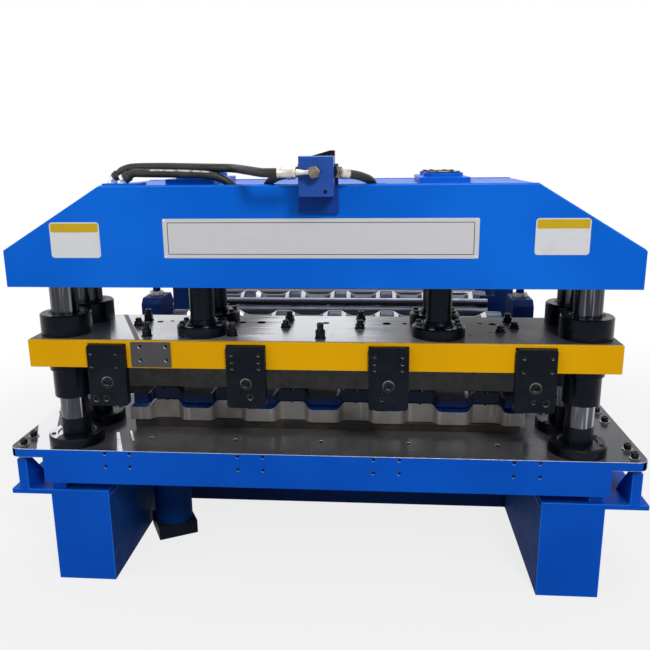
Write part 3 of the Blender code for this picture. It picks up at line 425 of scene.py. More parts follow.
for label, route in HOSE_ROUTES.items():
    line = curved_line(route)
    curve = bpy.data.curves.new("hose_" + label, "CURVE")
    curve.dimensions = "3D"
    curve.bevel_depth = HOSE_RADIUS
    curve.bevel_resolution = 6
    curve.use_fill_caps = True
    spline = curve.splines.new("POLY")
    spline.points.add(len(line) - 1)
    for point, at in zip(spline.points, line):
        point.co = (*at, 1)
    hose = placed("hose_" + label, curve)
    curve.materials.append(rubber)
    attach(hose, "machine_frame")
    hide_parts("pressure_hose_" + label)
    length = sum((b - a).length for a, b in zip(line, line[1:]))
    [stripe] if label == "rear" else ()

# Crimped sleeves and hexagon nuts where the hoses meet their ports: zinc-plated steel.
# A sleeve is squeezed in bands on the rubber, so its outside is stepped.
SLEEVE = [
    (0.0108, 0), (0.0132, 0.001), (0.0132, 0.01), (0.0122, 0.011), (0.0122, 0.013),
    (0.0132, 0.014), (0.0132, 0.022), (0.0122, 0.023), (0.0122, 0.025), (0.013, 0.026), (0.0126, 0.033),
    (0.0108, 0.034),
]
NUT = [(0, 0), (0.015, 0), (0.016, 0.001), (0.016, 0.012), (0.015, 0.013), (0, 0.013)]
fittings = []
for label in ("right", "left", "rear"):
    before, end = HOSE_ROUTES[label][-2:]
    fittings.append(moved(turn(SLEEVE, 40), end, (before - end).normalized()))
    fittings.append(moved(turn(NUT, 6), end, (end - before).normalized()))
show("hose_sleeves", fittings, plated, bevel=0.0006)

# Bed: a thick machined plate, ground on top and left oily, with its edges painted blue.
# It carries the dies and the pillars, and stands on four welded blue beams.
oily, place = start_finish("bed_steel")
grind = place.stretched((1.5, 60, 1)).noise(16, 4, 0.6)
smear = place.noise(5, 4, 0.6)
spots = place.noise(70, 2).between(0.62, 0.72)
stain = smear.between(0.4, 0.68)
x, y = place.axis(0), place.axis(1) - EDGE_Y
middle = 1 - (x * x).between(0.16, 0.36)


def painted_reflection_strip(left, right, last, first=-0.01):
    """1 in a painted reflection strip between two lines, each an x at the front edge and its lean, else 0."""
    sides = [(x + lean * y).between(at - 0.001, at + 0.001) for at, lean in (left, right)]
    return (sides[0] - sides[1]) * y.within((first - 0.003, first), (last, last + 0.003))


# Three bright metallic strips in the plate's left part are painted reflections in its oily top.
painted_reflection = painted_reflection_strip((-0.7868, 0.456), (-0.7415, 0.377), 0.44)
painted_reflection = painted_reflection + painted_reflection_strip((-0.5565, 0.385), (-0.541, 0.435), 0.132)
painted_reflection = painted_reflection + painted_reflection_strip((-0.506, 0.45), (-0.4985, 0.46), 0.146, 0.076)
end_finish(
    oily, bump=grind, height=0.00006,
    Base_Color=painted_reflection.choose(
        middle.choose(
            stain.choose((0.05, 0.053, 0.064), (0.076, 0.078, 0.088)),
            stain.choose((0.092, 0.09, 0.096), (0.135, 0.13, 0.133)),
        ), (0.84, 0.83, 0.86),
    ),
    Roughness=0.14 + 0.14 * stain + 0.05 * grind + 0.15 * spots - 0.04 * painted_reflection,
    Metallic=0.32 + 0.6 * painted_reflection, Specular_IOR_Level=0.2,
)


def enamel(name, colour, light, roughness=0.3, chips=0, dust_on_top=0.1):
    """Brushed or sprayed machine enamel: slight orange peel, blotches, dust, and chips down to steel."""
    material, place = start_finish(name)
    blotch = place.noise(2.6, 3).between(0.3, 0.7)
    peel = place.noise(340, 2)
    dust = place.noise(22, 5, 0.65).between(0.42, 0.8)
    top = facing(place).between(0.55, 0.95) * dust * dust_on_top
    mixed = blotch.choose(colour, light)
    mixed = top.choose(mixed, (0.32, 0.3, 0.27))
    rough = roughness + 0.1 * dust + 0.35 * top
    metal = 0
    if chips:
        worn = place.noise(46, 5, 0.7).between(0.6 - chips, 0.66 - chips)
        mixed = worn.choose(mixed, (0.2, 0.19, 0.18))
        rough = rough + 0.1 * worn
        metal = worn * 0.8
    return end_finish(
        material, bump=peel, height=0.00012, Base_Color=mixed, Roughness=rough, Metallic=metal,
        Specular_IOR_Level=0.05,
    )


blue = enamel("blue_enamel", (0.0018, 0.098, 0.53), (0.004, 0.124, 0.61))
# The bed's blue is a darker copy of the blue enamel: painted shade.
bed_blue_painted_shade = enamel("bed_enamel_painted_shade", (0.001, 0.066, 0.43), (0.0015, 0.082, 0.5))
# Bevelled edges of blue parts take a lighter blue: a painted edge highlight.
blue_edge_highlight = enamel("blue_enamel_painted_edge_highlight", (0.005, 0.13, 0.64), (0.008, 0.15, 0.7))
hollow, place = start_finish("hole_shadow")
end_finish(
    hollow, Base_Color=(0.002, 0.002, 0.003), Roughness=0.8 + 0.1 * place.noise(200),
    Specular_IOR_Level=0,
)
# Light steel: a painted highlight on the bed plate's bevelled edges and on the patch screws' slivers, and the
# plated colour of the coupling collars.
painted_highlight_and_plated_steel = patchy(
    "painted_highlight_and_plated_steel", "hard_chrome", (60, 4), (0.35, 0.65), ((0.7, 0.72, 0.76), (0.5, 0.55, 0.66)),
    (0.35, 0.15), Metallic=0.4,
)
bed_top = redressed("bed_plate", bed_blue_painted_shade, slot="bed_steel", bevel=0.002, edge=painted_highlight_and_plated_steel)
bed_top.data.materials.append(oily)
bed_top.data.materials.append(hollow)
for face in bed_top.data.polygons:
    inside = abs(face.center.x) < 0.86 and bed_low.y + 0.004 < face.center.y < bed_high.y - 0.004
    face.material_index = 2 if abs(face.normal.z) > 0.5 else 3 if inside else 0
redressed("bed_front_beam", bed_blue_painted_shade, bevel=0)
for node in ("bed_rear_beam", "bed_left_beam", "bed_right_beam"):
    redressed(node, bed_blue_painted_shade, bevel=0.0015, edge=blue_edge_highlight)
seam = block((-0.7728, 0.7728), (EDGE_Y - 0.0004, EDGE_Y + 0.001), (0.3925, 0.401))
show("bed_seam_filler", seam, bed_blue_painted_shade)

# Socket screws of the bed's front edge: two pairs of small ones over each other in four places.
# They tie the plate to its front beam, and sit in counterbores; a pale blue sliver on each lower lip is a
# painted glint.
black_screw = patchy(
    "black_oxide", "blackened_steel", (160, 3), (0.5, 0.7),
    ((0.006, 0.007, 0.009), (0.034, 0.036, 0.041)), (0.32, 0.12), grain=(700, 2), height=0.00002,
    Metallic=0.7, Specular_IOR_Level=0.2,
)


def socket_screw(radius, height, bore=0.55, deep=0.5):
    """Head of a hexagon socket screw: chamfered cylinder with a six-sided hole in its top."""
    corner, bottom = radius * bore, height * (1 - deep)
    rim = corner * 1.12
    side = [(0, 0), (radius, 0), (radius, height * 0.88), (radius * 0.9, height), (rim, height)]
    hole = turn([(corner, height), (corner, bottom), (0, bottom)], 6)
    faces = []
    for i in range(24):
        low, high = 24 + (i // 4) % 6, 24 + ((i // 4) + 1) % 6
        faces.append((i, (i + 1) % 24, low if i % 4 < 2 else high))
        if i % 4 == 2:
            faces.append((i, high, low))
    return joined([turn(side, 24), hole, (circle(rim, height, 24) + circle(corner, height, 6), faces)])


def screw(at, radius, height, *socket, axis="-Y", angle=0):
    """A socket screw's head set at a place."""
    return moved(socket_screw(radius, height, *socket), at, axis, angle)


def painted_glint(radius, width, first=200, last=320, steps=12):
    """A painted glint: a thin curved sliver, part of a ring round a hole, between two angles in degrees."""
    points = []
    for i in range(steps + 1):
        angle = math.radians(first + (last - first) * i / steps)
        swell = width * math.sin(math.pi * i / steps) + 0.0001
        for reach in (radius, radius + swell):
            points.append((reach * math.cos(angle), reach * math.sin(angle), 0.0004))
    return points, [(2 * i, 2 * i + 1, 2 * i + 3, 2 * i + 2) for i in range(steps)]


EDGE_SCREWS = (-0.558, -0.187, 0.183, 0.554)
sockets = []
painted_glints = []
for middle in EDGE_SCREWS:
    for side in (-0.0345, 0.0345):
        for z in (0.414, 0.3755):
            at = (middle + side, EDGE_Y, z)
            sockets.append(screw(at, 0.0046, 0.0006, 0.6, 0.8))
            painted_glints.append(moved(painted_glint(0.0046, 0.002), at, "-Y"))
show("bed_edge_screws", sockets, black_screw)
# Pale blue for painted glints and painted highlights on blue parts.
pale_blue_highlight = enamel("blue_enamel_painted_highlight", (0.1, 0.3, 0.8), (0.16, 0.38, 0.85))
show("bed_edge_screw_painted_glints", painted_glints, pale_blue_highlight)

# Hold-down screws at the bed's ends: tall socket screws on thick washers, in pairs by each pillar.
# They bolt the bed plate down to its side beams.
dull_washer = patchy(
    "dull_washer_steel", "hard_chrome", (90, 4), (0.35, 0.65),
    ((0.15, 0.145, 0.15), (0.3, 0.29, 0.29)), (0.3, 0.15), grain=(700, 2), height=0.00003,
    Metallic=0.9,
)
washers = []
screws = []
WASHER = [(0.015, 0), (0.015, 0.0025), (0.014, 0.003)]
for x in (-0.838, 0.838):
    for y in (0.03, 0.088, 0.29, 0.372):
        washers.append(moved(solid(WASHER, 32), (x, EDGE_Y + y, bed_high.z)))
        screws.append(screw((x, EDGE_Y + y, bed_high.z + 0.003), 0.01, 0.014, axis="Z", angle=y * 7))
show("bed_washers", washers, dull_washer)
show("bed_screws", screws, black_screw)

# Feet: welded boxes of thick plate with a top plate that reaches out past the bed.
# Each top plate carries two stops with sloped ribs, and is run round with weld.
# A near-black blue for faces under the bed: painted shade.
painted_shade_blue = enamel("painted_shade_blue_enamel", (0.001, 0.02, 0.112), (0.003, 0.042, 0.2), roughness=0.6)
for side, node in ((-1, "left_foot"), (1, "right_foot")):
    foot = redressed(node, bed_blue_painted_shade, bevel=0.002, edge=blue_edge_highlight)
    foot.data.materials.append(painted_shade_blue)
    for face in foot.data.polygons:
        if face.normal.x * side < -0.5 and abs(face.center.x) < 0.63:
            face.material_index = 2


def weld(start, end, radius=0.0035, pitch=0.0055):
    """A run of weld: overlapping ripples between two points."""
    start, end = Vector(start), Vector(end)
    length = (end - start).length
    count = max(2, round(length / pitch))
    way = (end - start).normalized()
    across = way.orthogonal().normalized()
    third = way.cross(across)
    points = []
    faces = []
    for i in range(2 * count + 1):
        swell = radius * (1 if i % 2 else 0.78)
        middle = start + way * (length * i / (2 * count))
        for k in range(8):
            angle = math.pi * k / 4
            points.append(tuple(middle + swell * (math.cos(angle) * across + math.sin(angle) * third)))
    for i in range(2 * count):
        for k in range(8):
            a, b = 8 * i + k, 8 * i + (k + 1) % 8
            faces.append((a, b, b + 8, a + 8))
    faces += [tuple(range(8)), tuple(range(16 * count, 16 * count + 8))]
    return points, faces


PLATE_UNDER = 0.27
foot_welds = []
for side, node in ((-1, "left_foot"), (1, "right_foot")):
    low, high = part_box(node)
    outer, inner = side * 0.775, side * 0.605
    for x in (outer, inner):
        foot_welds.append(weld((x, low.y + 0.004, PLATE_UNDER), (x, high.y - 0.004, PLATE_UNDER)))
    for x in (side * 0.8355, side * 0.8675):
        foot_welds.append(weld((x, low.y + 0.004, 0.286), (x, low.y + 0.1, 0.286)))
        foot_welds.append(weld((x, high.y - 0.1, 0.286), (x, high.y - 0.004, 0.286)))
show("foot_welds", foot_welds, bed_blue_painted_shade)

# Jack leg: a screwed pipe leg under the left half of the bed, on a square pad turned askew.
# The jack leg takes the near-black painted-shade blue.
leg = redressed("jack_leg", painted_shade_blue, bevel=0.0015)
# The pad's faces take a near-black enamel.
pad_steel = enamel("jack_pad_near_black", (0.004, 0.006, 0.012), (0.01, 0.013, 0.024), roughness=0.5)
leg.data.materials.append(pad_steel)
for face in leg.data.polygons:
    askew = max(abs(face.normal.x), abs(face.normal.y)) < 0.999
    face.material_index = 1 if face.center.z < 0.046 and askew else 0

# Pillars: 75 mm hard-chromed and ground bars that guide the moving plate.
# Each stands in a round black base flange and passes through the crossbeam into a nut.
chrome, place = start_finish("hard_chrome")
# Light vertical streaks on the bars are painted reflections, and above about 0.77 m the chrome is mixed towards
# near black as a painted dark reflection.
streak_and_painted_reflection = place.stretched((1, 1, 0.02)).noise(130, 2, 0.5).between(0.52, 0.7)
film = place.stretched((1, 1, 0.1)).noise(60, 3, 0.5).between(0.35, 0.65)
end_finish(
    chrome, bump=streak_and_painted_reflection, height=0.00002,
    Base_Color=(0.55 * place.axis(2).between(0.74, 0.8)).choose(
        streak_and_painted_reflection.choose(film.choose((0.046, 0.05, 0.063), (0.1, 0.103, 0.115)), (0.38, 0.39, 0.42)),
        (0.012, 0.014, 0.02),
    ),
    Roughness=0.14 + 0.12 * film, Metallic=1,
)
blackened, place = start_finish("blackened_steel")
turning = place.stretched((1, 1, 8)).noise(120, 3)
film = place.noise(12, 5, 0.6).between(0.4, 0.72)
rub = place.noise(38, 5, 0.7).between(0.64, 0.72)
end_finish(
    blackened, bump=turning, height=0.00005,
    Base_Color=rub.choose(film.choose((0.004, 0.006, 0.01), (0.009, 0.011, 0.017)), (0.04, 0.04, 0.05)),
    Roughness=0.26 + 0.16 * film, Metallic=0.6, Specular_IOR_Level=0.15,
)
flange_painted_reflection, place = start_finish("flange_steel_painted_reflection")
# The left front flange's upward faces left of x -0.733 are painted near white: a painted reflection.
painted_reflection_patch = facing(place).between(0.9, 0.96) * (1 - place.axis(0).between(-0.734, -0.7325))
film = place.noise(12, 5, 0.6).between(0.4, 0.72)
end_finish(
    flange_painted_reflection, bump=place.noise(120, 3), height=0.00004,
    Base_Color=painted_reflection_patch.choose(film.choose((0.004, 0.006, 0.01), (0.009, 0.011, 0.017)), (0.78, 0.77, 0.8)),
    Roughness=0.26 + 0.16 * film, Metallic=0.6 + 0.3 * painted_reflection_patch, Specular_IOR_Level=0.15,
)
FLANGE_RADIUS = 0.0765
FLANGE_TOP = bed_high.z + 0.0283
HUB_TOP = bed_high.z + 0.0753
beam_low, beam_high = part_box("crossbeam_front_plate")
flange_screws = []


def axis_of(node):
    """A CAD node's bounds, and the place of its upright axis."""
    low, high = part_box(node)
    return low, high, (low.x + high.x) / 2, (low.y + high.y) / 2


def around(x, y, radius, count, first=0):
    """Places in a ring round an upright axis, each with its angle."""
    for i in range(count):
        angle = math.radians(first + 360 / count * i)
        yield x + radius * math.cos(angle), y + radius * math.sin(angle), angle


for label in ("left_front", "left_rear", "right_front", "right_rear"):
    node = "pillar_" + label
    low, high, x, y = axis_of(node)
    under = beam_low.z - 0.0003
    bar = [(0.0375, FLANGE_TOP), (0.0375, under), (0.03, under), (0.03, high.z - 0.002), (0.028, high.z)]
    show(node + "_bar", moved(solid(bar, 96), (x, y, 0)), chrome, instead_of=node)
    hub = [(0.0395, FLANGE_TOP - 0.003), (0.0395, HUB_TOP - 0.002), (0.038, HUB_TOP)]
    show(node + "_hub", moved(solid(hub, 96), (x, y, 0)), blackened)
    flange = [
        (FLANGE_RADIUS, low.z), (FLANGE_RADIUS, FLANGE_TOP - 0.004), (FLANGE_RADIUS - 0.004, FLANGE_TOP),
        (0.0525, FLANGE_TOP), (0.05, FLANGE_TOP - 0.003),
    ]
    face = flange_painted_reflection if label == "left_front" else blackened
    show(node + "_flange", moved(solid(flange, 96), (x, y, 0)), face, bevel=0.0005)
    nut = [(0.048, beam_low.z + 0.0223), (0.048, beam_low.z + 0.0593), (0.045, beam_low.z + 0.0623)]
    show(node + "_nut", moved(solid(nut, 6), (x, y, 0)), blackened, bevel=0.001)
    for at_x, at_y, angle in around(x, y, 0.0635, 6, 30):
        flange_screws.append(screw((at_x, at_y, FLANGE_TOP - 0.004), 0.0065, 0.0062, axis="Z", angle=angle))
show("pillar_flange_screws", flange_screws, black_screw)

# Crossbeam: a box of 16 mm plate with sloped shoulders, welded along its seams and sprayed blue.
# The front plate carries the machine's plates, and the manifold is bolted to its upper edge.
for part, bevel in (("front", 0.0022), ("rear", 0.0022), ("bottom", 0.001), ("top", 0.001)):
    redressed(f"crossbeam_{part}_plate", blue, bevel=bevel, edge=blue_edge_highlight)
rear_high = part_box("crossbeam_rear_plate")[1]
TOP_X = 0.533
END_Z = 0.982
beam_welds = []
for y in (beam_low.y + 0.016, rear_high.y - 0.016):
    corners = [(-beam_high.x, beam_low.z + 0.004), (-beam_high.x, END_Z), (-TOP_X, beam_high.z)]
    corners += [(TOP_X, beam_high.z), (beam_high.x, END_Z), (beam_high.x, beam_low.z + 0.004)]
    for (x0, z0), (x1, z1) in zip(corners, corners[1:]):
        beam_welds.append(weld((x0, y, z0), (x1, y, z1), 0.0022, 0.006))
show("crossbeam_welds", beam_welds, blue)

# Nameplate: a thin sheet of anodised aluminium with a printed border line, riveted at its corners.
# It is left bare inside the line.
satin, place = start_finish("nameplate_aluminium")
brush = place.stretched((1, 1, 40)).noise(30, 3)
end_finish(
    satin, bump=brush, height=0.00002, Base_Color=brush.choose((0.44, 0.44, 0.46), (0.54, 0.54, 0.56)),
    Roughness=0.3 + 0.1 * brush, Metallic=0.55,
)
ink, place = start_finish("border_ink")
end_finish(ink, Base_Color=(0.03, 0.03, 0.034), Roughness=0.45 + 0.1 * place.noise(300))


def rounded(x, y, radius, steps=6):
    """Corner points of a rectangle with arcs for its corners."""
    points = []
    corners = ((x[1], y[1], 0), (x[0], y[1], 90), (x[0], y[0], 180), (x[1], y[0], 270))
    for cx, cy, first in corners:
        ax = cx - radius if cx == x[1] else cx + radius
        ay = cy - radius if cy == y[1] else cy + radius
        for i in range(steps + 1):
            angle = math.radians(first + 90 * i / steps)
            points.append((ax + radius * math.cos(angle), ay + radius * math.sin(angle)))
    return points


def frame_line(x, z, width, y, thickness):
    """A flat border line between two rectangles, standing on a plate's front."""
    outer = rounded(x, z, 0.003, 2)
    inner = rounded((x[0] + width, x[1] - width), (z[0] + width, z[1] - width), 0.0022, 2)
    count = len(outer)
    points = [(a, t, b) for t in (y, y - thickness) for a, b in outer + inner]
    faces = []
    for i in range(count):
        j = (i + 1) % count
        for level in (0, 2 * count):
            faces.append((level + i, level + j, level + count + j, level + count + i))
        faces.append((i, j, 2 * count + j, 2 * count + i))
        faces.append((count + i, count + j, 3 * count + j, 3 * count + i))
    return points, faces


FRONT_Y = beam_low.y
PLATE_X = (-0.375, 0.398)
PLATE_Z = (0.9635, 1.061)
PLATE_Y = FRONT_Y - 0.0012
sheet = prism(rounded(PLATE_X, PLATE_Z, 0.003), FRONT_Y, PLATE_Y, "Y")
show("nameplate", sheet, satin, bevel=0.0003)
inset_x = (PLATE_X[0] + 0.011, PLATE_X[1] - 0.011)
inset_z = (PLATE_Z[0] + 0.009, PLATE_Z[1] - 0.009)
show("nameplate_border", frame_line(inset_x, inset_z, 0.0018, PLATE_Y, 0.0002), ink)
rivets = []
for x in (PLATE_X[0] + 0.0055, PLATE_X[1] - 0.0055):
    for z in (PLATE_Z[0] + 0.0048, PLATE_Z[1] - 0.0048):
        dome = [(0, 0), (0.0024, 0), (0.002, 0.0009), (0.0011, 0.0014), (0, 0.0016)]
        rivets.append(moved(turn(dome, 20), (x, PLATE_Y, z), "-Y"))
show("nameplate_rivets", rivets, plated)

# Two blank plates on the crossbeam's shoulders: white card under film, with a yellow head band.
# Their corners are rounded, and nothing is printed on them.
card = patchy(
    "white_card", "ground_steel", (40, 4), (0.45, 0.8), ((0.55, 0.56, 0.59), (0.42, 0.42, 0.43)),
    (0.35, 0.1), share=0.3, Coat_Weight=0.1,
)
band = patchy(
    "yellow_band", "yellow_enamel", (40, 4), (0.45, 0.8), ((0.48, 0.32, 0.006), (0.36, 0.24, 0.008)),
    (0.35, 0.1), share=0.3, Coat_Weight=0.05, Specular_IOR_Level=0.2,
)
CARDS = (("left", (-0.665, -0.537), (0.964, 1.053)), ("right", (0.5295, 0.6575), (0.9725, 1.06)))
for label, x, z in CARDS:
    back = FRONT_Y - 0.0006
    show(label + "_card", prism(rounded(x, z, 0.008), FRONT_Y, back, "Y"), card)
    split = z[1] - 0.28 * (z[1] - z[0])
    head = rounded((x[0] + 0.003, x[1] - 0.003), (split, z[1] - 0.003), 0.003)
    show(label + "_card_band", prism(head, back, back - 0.0002, "Y"), band)

# Cylinders: hydraulic barrels let down through the crossbeam, joined in pairs by a cap plate.
# Each cap is turned with a step and held by a ring of socket screws.
CAP = [(0.044, -0.0002), (0.044, 0.002), (0.0432, 0.0026)]
for side, label in ((-1, "left"), (1, "right")):
    node = label + "_cylinder_pair"
    low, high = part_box(node)
    redressed(node, blue, bevel=0.0012, edge=blue_edge_highlight)
    caps = []
    cap_screws = []
    for y in (0.08, 0.235):
        caps.append(moved(solid(CAP, 72), (side * 0.318, EDGE_Y + y, high.z)))
        for at_x, at_y, angle in around(side * 0.318, EDGE_Y + y, 0.036, 6):
            cap_screws.append(screw((at_x, at_y, high.z + 0.0026), 0.0045, 0.0014, axis="Z", angle=angle))
    show(label + "_cylinder_caps", caps, blackened)
    show(label + "_cylinder_cap_screws", cap_screws, black_screw)

# Rods: blackened couplings from the cylinders to the moving plate, 67 mm across.
# Each has a round flange bolted down with socket screws, whose washers shine.
ram_low, ram_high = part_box("ram_plate")
rod_screws = []
rod_washers = []
for label in ("left_front", "left_rear", "right_front", "right_rear"):
    node = "ram_rod_" + label
    low, high, x, y = axis_of(node)
    top = low.z + 0.029
    shape = [
        (0.07, low.z), (0.07, top - 0.005), (0.0655, top), (0.044, top), (0.0395, top + 0.004),
        (0.0375, top + 0.01), (0.0335, top + 0.014), (0.0335, high.z),
    ]
    rod = moved(solid(shape, 96), (x, y, 0))
    show(node + "_turned", rod, blackened, "ram", node, bevel=0.0006)
    for at_x, at_y, angle in around(x, y, 0.056, 8, 22.5):
        rod_washers.append(moved(solid([(0.0095, 0), (0.0095, 0.0014)], 28), (at_x, at_y, top)))
        rod_screws.append(screw((at_x, at_y, top + 0.0014), 0.007, 0.007, axis="Z", angle=angle))
show("rod_flange_washers", rod_washers, dull_washer, "ram")
show("rod_flange_screws", rod_screws, black_screw, "ram")

# Guide bushes: black steel sleeves that ride on the pillars, with a thick collar on the plate.
# Below the plate a ring holds each one, and a wiper lip closes its bore.
for label in ("left_front", "left_rear", "right_front", "right_rear"):
    node = "guide_bush_" + label
    low, high, x, y = axis_of(node)
    under = ram_low.z - 0.0003
    shape = [
        (0.0385, low.z), (0.048, low.z), (0.049, low.z + 0.001), (0.049, under - 0.026),
        (0.054, under - 0.026), (0.055, under - 0.025), (0.055, under - 0.001), (0.054, under),
        (0.049, under), (0.049, ram_high.z + 0.0003), (0.067, ram_high.z + 0.0003),
        (0.068, ram_high.z + 0.0013), (0.068, high.z - 0.003), (0.065, high.z), (0.0455, high.z),
        (0.044, high.z - 0.002), (0.0415, high.z - 0.002), (0.0405, high.z), (0.0385, high.z),
    ]
    bush = moved(turn(shape, 96, closed=True), (x, y, 0))
    show(node + "_turned", bush, blackened, "ram", node)

# Moving plate: a 75 mm ground steel plate that the cylinders lift along the pillars.
# Its top is bright ground steel with dark bands of painted reflection, tapped holes drawn as
# dark discs of painted hole shade, and the screws that hold the upper die.
ground, place = start_finish("ground_steel")
grind = place.stretched((2, 70, 1)).noise(18, 4, 0.6)
film = place.noise(3.2, 4, 0.55).between(0.42, 0.66)
spots = place.noise(48, 3).between(0.66, 0.74)
x, y = place.axis(0), place.axis(1) - EDGE_Y
# Dark bands across the top, a thin dark line and a dark left end: painted reflections.
waver = x + 0.2 * place.stretched((0.7, 12, 1)).noise(5, 4, 0.65) - 0.1
dark_reflection_band = waver.within((-0.34, -0.3), (-0.22, -0.12))
dim_reflection_right = waver.between(0.06, 0.23)
dark_reflection_right = waver.between(0.22, 0.34)
lean = x + 0.465 * y
dark_reflection_line = lean.within((-0.4836, -0.4816), (-0.47, -0.468))
dark_reflection_left_end = 1 - (x + 0.38 * y).between(-0.55, -0.5455)
bare = (1 - 0.82 * dark_reflection_band) * (1 - 0.74 * dim_reflection_right) * (1 - 0.96 * dark_reflection_right)
bare = bare * (1 - 0.88 * dark_reflection_line) * (1 - 0.97 * dark_reflection_left_end)
end_finish(
    ground, bump=grind, height=0.00005,
    Base_Color=bare.choose((0.034, 0.036, 0.043), film.choose((0.7, 0.71, 0.75), (0.56, 0.56, 0.6))),
    Roughness=0.3 + 0.08 * film + 0.06 * grind + 0.2 * spots - 0.1 * bare, Metallic=0.9 * bare,
    Specular_IOR_Level=0.12,
)
dark_side, place = start_finish("mill_scale_steel")
scale = place.noise(26, 5, 0.65).between(0.35, 0.7)
end_finish(
    dark_side, bump=scale, height=0.00015,
    Base_Color=scale.choose((0.02, 0.02, 0.022), (0.05, 0.047, 0.045)),
    Roughness=0.42 + 0.12 * scale, Metallic=0.6,
)
ram_piece = redressed("ram_plate", ground, "ram", bevel=0.0015)
ram_piece.data.materials.append(dark_side)
for face in ram_piece.data.polygons:
    face.material_index = 0 if face.normal.z > 0.5 else 1
RAM_SCREWS = (
    (-0.519, 0.228, 0.033), (-0.528, 0.165, 0.021), (-0.4635, 0.041, 0.039), (-0.101, 0.156, 0.02),
    (-0.101, 0.242, 0.027), (0.006, 0.038, 0.041), (0.107, 0.152, 0.023), (0.107, 0.262, 0.024),
    (0.487, 0.121, 0.018), (0.527, 0.245, 0.024), (0.532, 0.168, 0.018), (-0.233, 0.055, 0.036),
)
tall = []
RAM_WASHER = [(0.015, 0), (0.015, 0.0022), (0.0142, 0.0028)]
for x, y, height in RAM_SCREWS:
    at = Vector((x, EDGE_Y + y, ram_high.z))
    nut_top = height * 0.55
    tall.append(moved(solid(RAM_WASHER, 32), at))
    tall.append(moved(solid([(0.012, 0.0028), (0.013, 0.004), (0.013, nut_top)], 6), at, "Z", x * 9))
    tall.append(screw(at + Vector((0, 0, nut_top)), 0.0088, height * 0.45, 0.55, 0.7, axis="Z", angle=x * 5))
show("ram_top_screws", tall, black_screw, "ram", bevel=0.0005)
RAM_HOLES = (
    (-0.478, 0.208, 0.0095), (-0.445, 0.217, 0.006), (-0.233, 0.207, 0.0105), (-0.179, 0.209, 0.0135),
    (0.008, 0.208, 0.0105), (0.182, 0.206, 0.0125), (0.233, 0.208, 0.008), (0.446, 0.219, 0.006),
    (0.479, 0.21, 0.011),
)
# Each tapped hole is a flat dark disc in the hole shadow finish: painted hole shade.
holes = []
for x, y, radius in RAM_HOLES:
    rim = [(radius, 0), (radius - 0.0006, 0.0004), (radius - 0.0014, 0.0002), (0, 0.0001)]
    holes.append(moved(turn(rim, 36), (x, EDGE_Y + y, ram_high.z)))
show("ram_tapped_holes", holes, hollow, "ram")

# Front bar: a yellow enamelled strip screwed along the moving plate's front edge.
# A bare steel patch plate with four screws sits in it right of the first black block.
yellow = enamel(
    "yellow_enamel", (0.59, 0.295, 0.0008), (0.65, 0.33, 0.001), roughness=0.34,
)
yellow_edge = enamel("yellow_enamel_edge", (0.42, 0.23, 0.004), (0.7, 0.4, 0.01), roughness=0.36, chips=0.03)
redressed("ram_front_bar", yellow, "ram", bevel=0.0018, edge=yellow_edge)
bar_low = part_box("ram_front_bar")[0]
bare, place = start_finish("bare_patch_steel")
roll_marks = place.stretched((40, 1, 2)).noise(10, 4, 0.6)
end_finish(
    bare, bump=roll_marks, height=0.00006,
    Base_Color=roll_marks.choose((0.044, 0.045, 0.05), (0.08, 0.08, 0.086)),
    Roughness=0.4, Metallic=0.6, Specular_IOR_Level=0.2,
)
PATCH_X = (-0.492, -0.385)
PATCH_Z = (0.669, 0.737)
patch_front = bar_low.y - 0.003
patch = prism(rounded(PATCH_X, PATCH_Z, 0.002), bar_low.y, patch_front, "Y")
show("bare_patch", patch, bare, "ram", bevel=0.0006)
patch_screws = []
patch_painted_glints = []
# A light sliver under each screw is a painted glint.
for x in (-0.466, -0.397):
    for z in (0.689, 0.726):
        patch_screws.append(screw((x, patch_front, z), 0.0042, 0.0008, 0.6, 0.8))
        patch_painted_glints.append(moved(painted_glint(0.0042, 0.0018, 170, 290), (x, patch_front, z), "-Y"))
show("bare_patch_screws", patch_screws, black_screw, "ram")
show("bare_patch_screw_painted_glints", patch_painted_glints, painted_highlight_and_plated_steel, "ram")

# Black blocks: four steel hangers screwed over the front bar that hold the upper die forward.
# Each has a large socket screw in a ring, small ones above it, and stop screws near its foot.
BLOCK_X = (-0.5576, -0.1859, 0.1859, 0.5576)
block_screws = []
block_rings = []
block_painted_glints = []
# Pale slivers under the screws, and an arc over each large screw's ring, are painted glints.
for i, x in enumerate(BLOCK_X):
    node = f"clamp_block_{i + 1}"
    low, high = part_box(node)
    face_y = high.y - 0.024
    body = prism(rounded((low.x, high.x), (low.z, high.z), 0.008), face_y, high.y, "Y")
    show(node + "_finished", body, blackened, "ram", node, bevel=0.0016)
    for dx in ((-0.04, 0.028), (-0.035, 0.0355), (-0.035, 0.0355), (-0.031, 0.0393))[i]:
        for z in (0.7095, 0.6905, 0.6735):
            if z == 0.6905 and i in (0, 3):
                continue
            block_screws.append(screw((x + dx, face_y, z), 0.005, 0.0008, 0.62, 0.8, angle=dx * 40))
            block_painted_glints.append(moved(painted_glint(0.0046, 0.0014), (x + dx, face_y - 0.0006, z), "-Y"))
    ring = [(0.0165, 0), (0.0165, 0.0012), (0.0152, 0.0026), (0.0132, 0.003), (0, 0.003)]
    block_rings.append(moved(turn(ring, 48), (x, face_y, 0.629), "-Y"))
    block_painted_glints.append(moved(painted_glint(0.0138, 0.002, 20, 185, 24), (x, face_y - 0.0028, 0.629), "-Y"))
    block_painted_glints.append(moved(painted_glint(0.0062, 0.0012, 190, 330), (x, face_y - 0.0079, 0.629), "-Y"))
    block_screws.append(screw((x, face_y - 0.0015, 0.629), 0.0122, 0.0065, 0.5, 0.7, angle=0.3 * i))
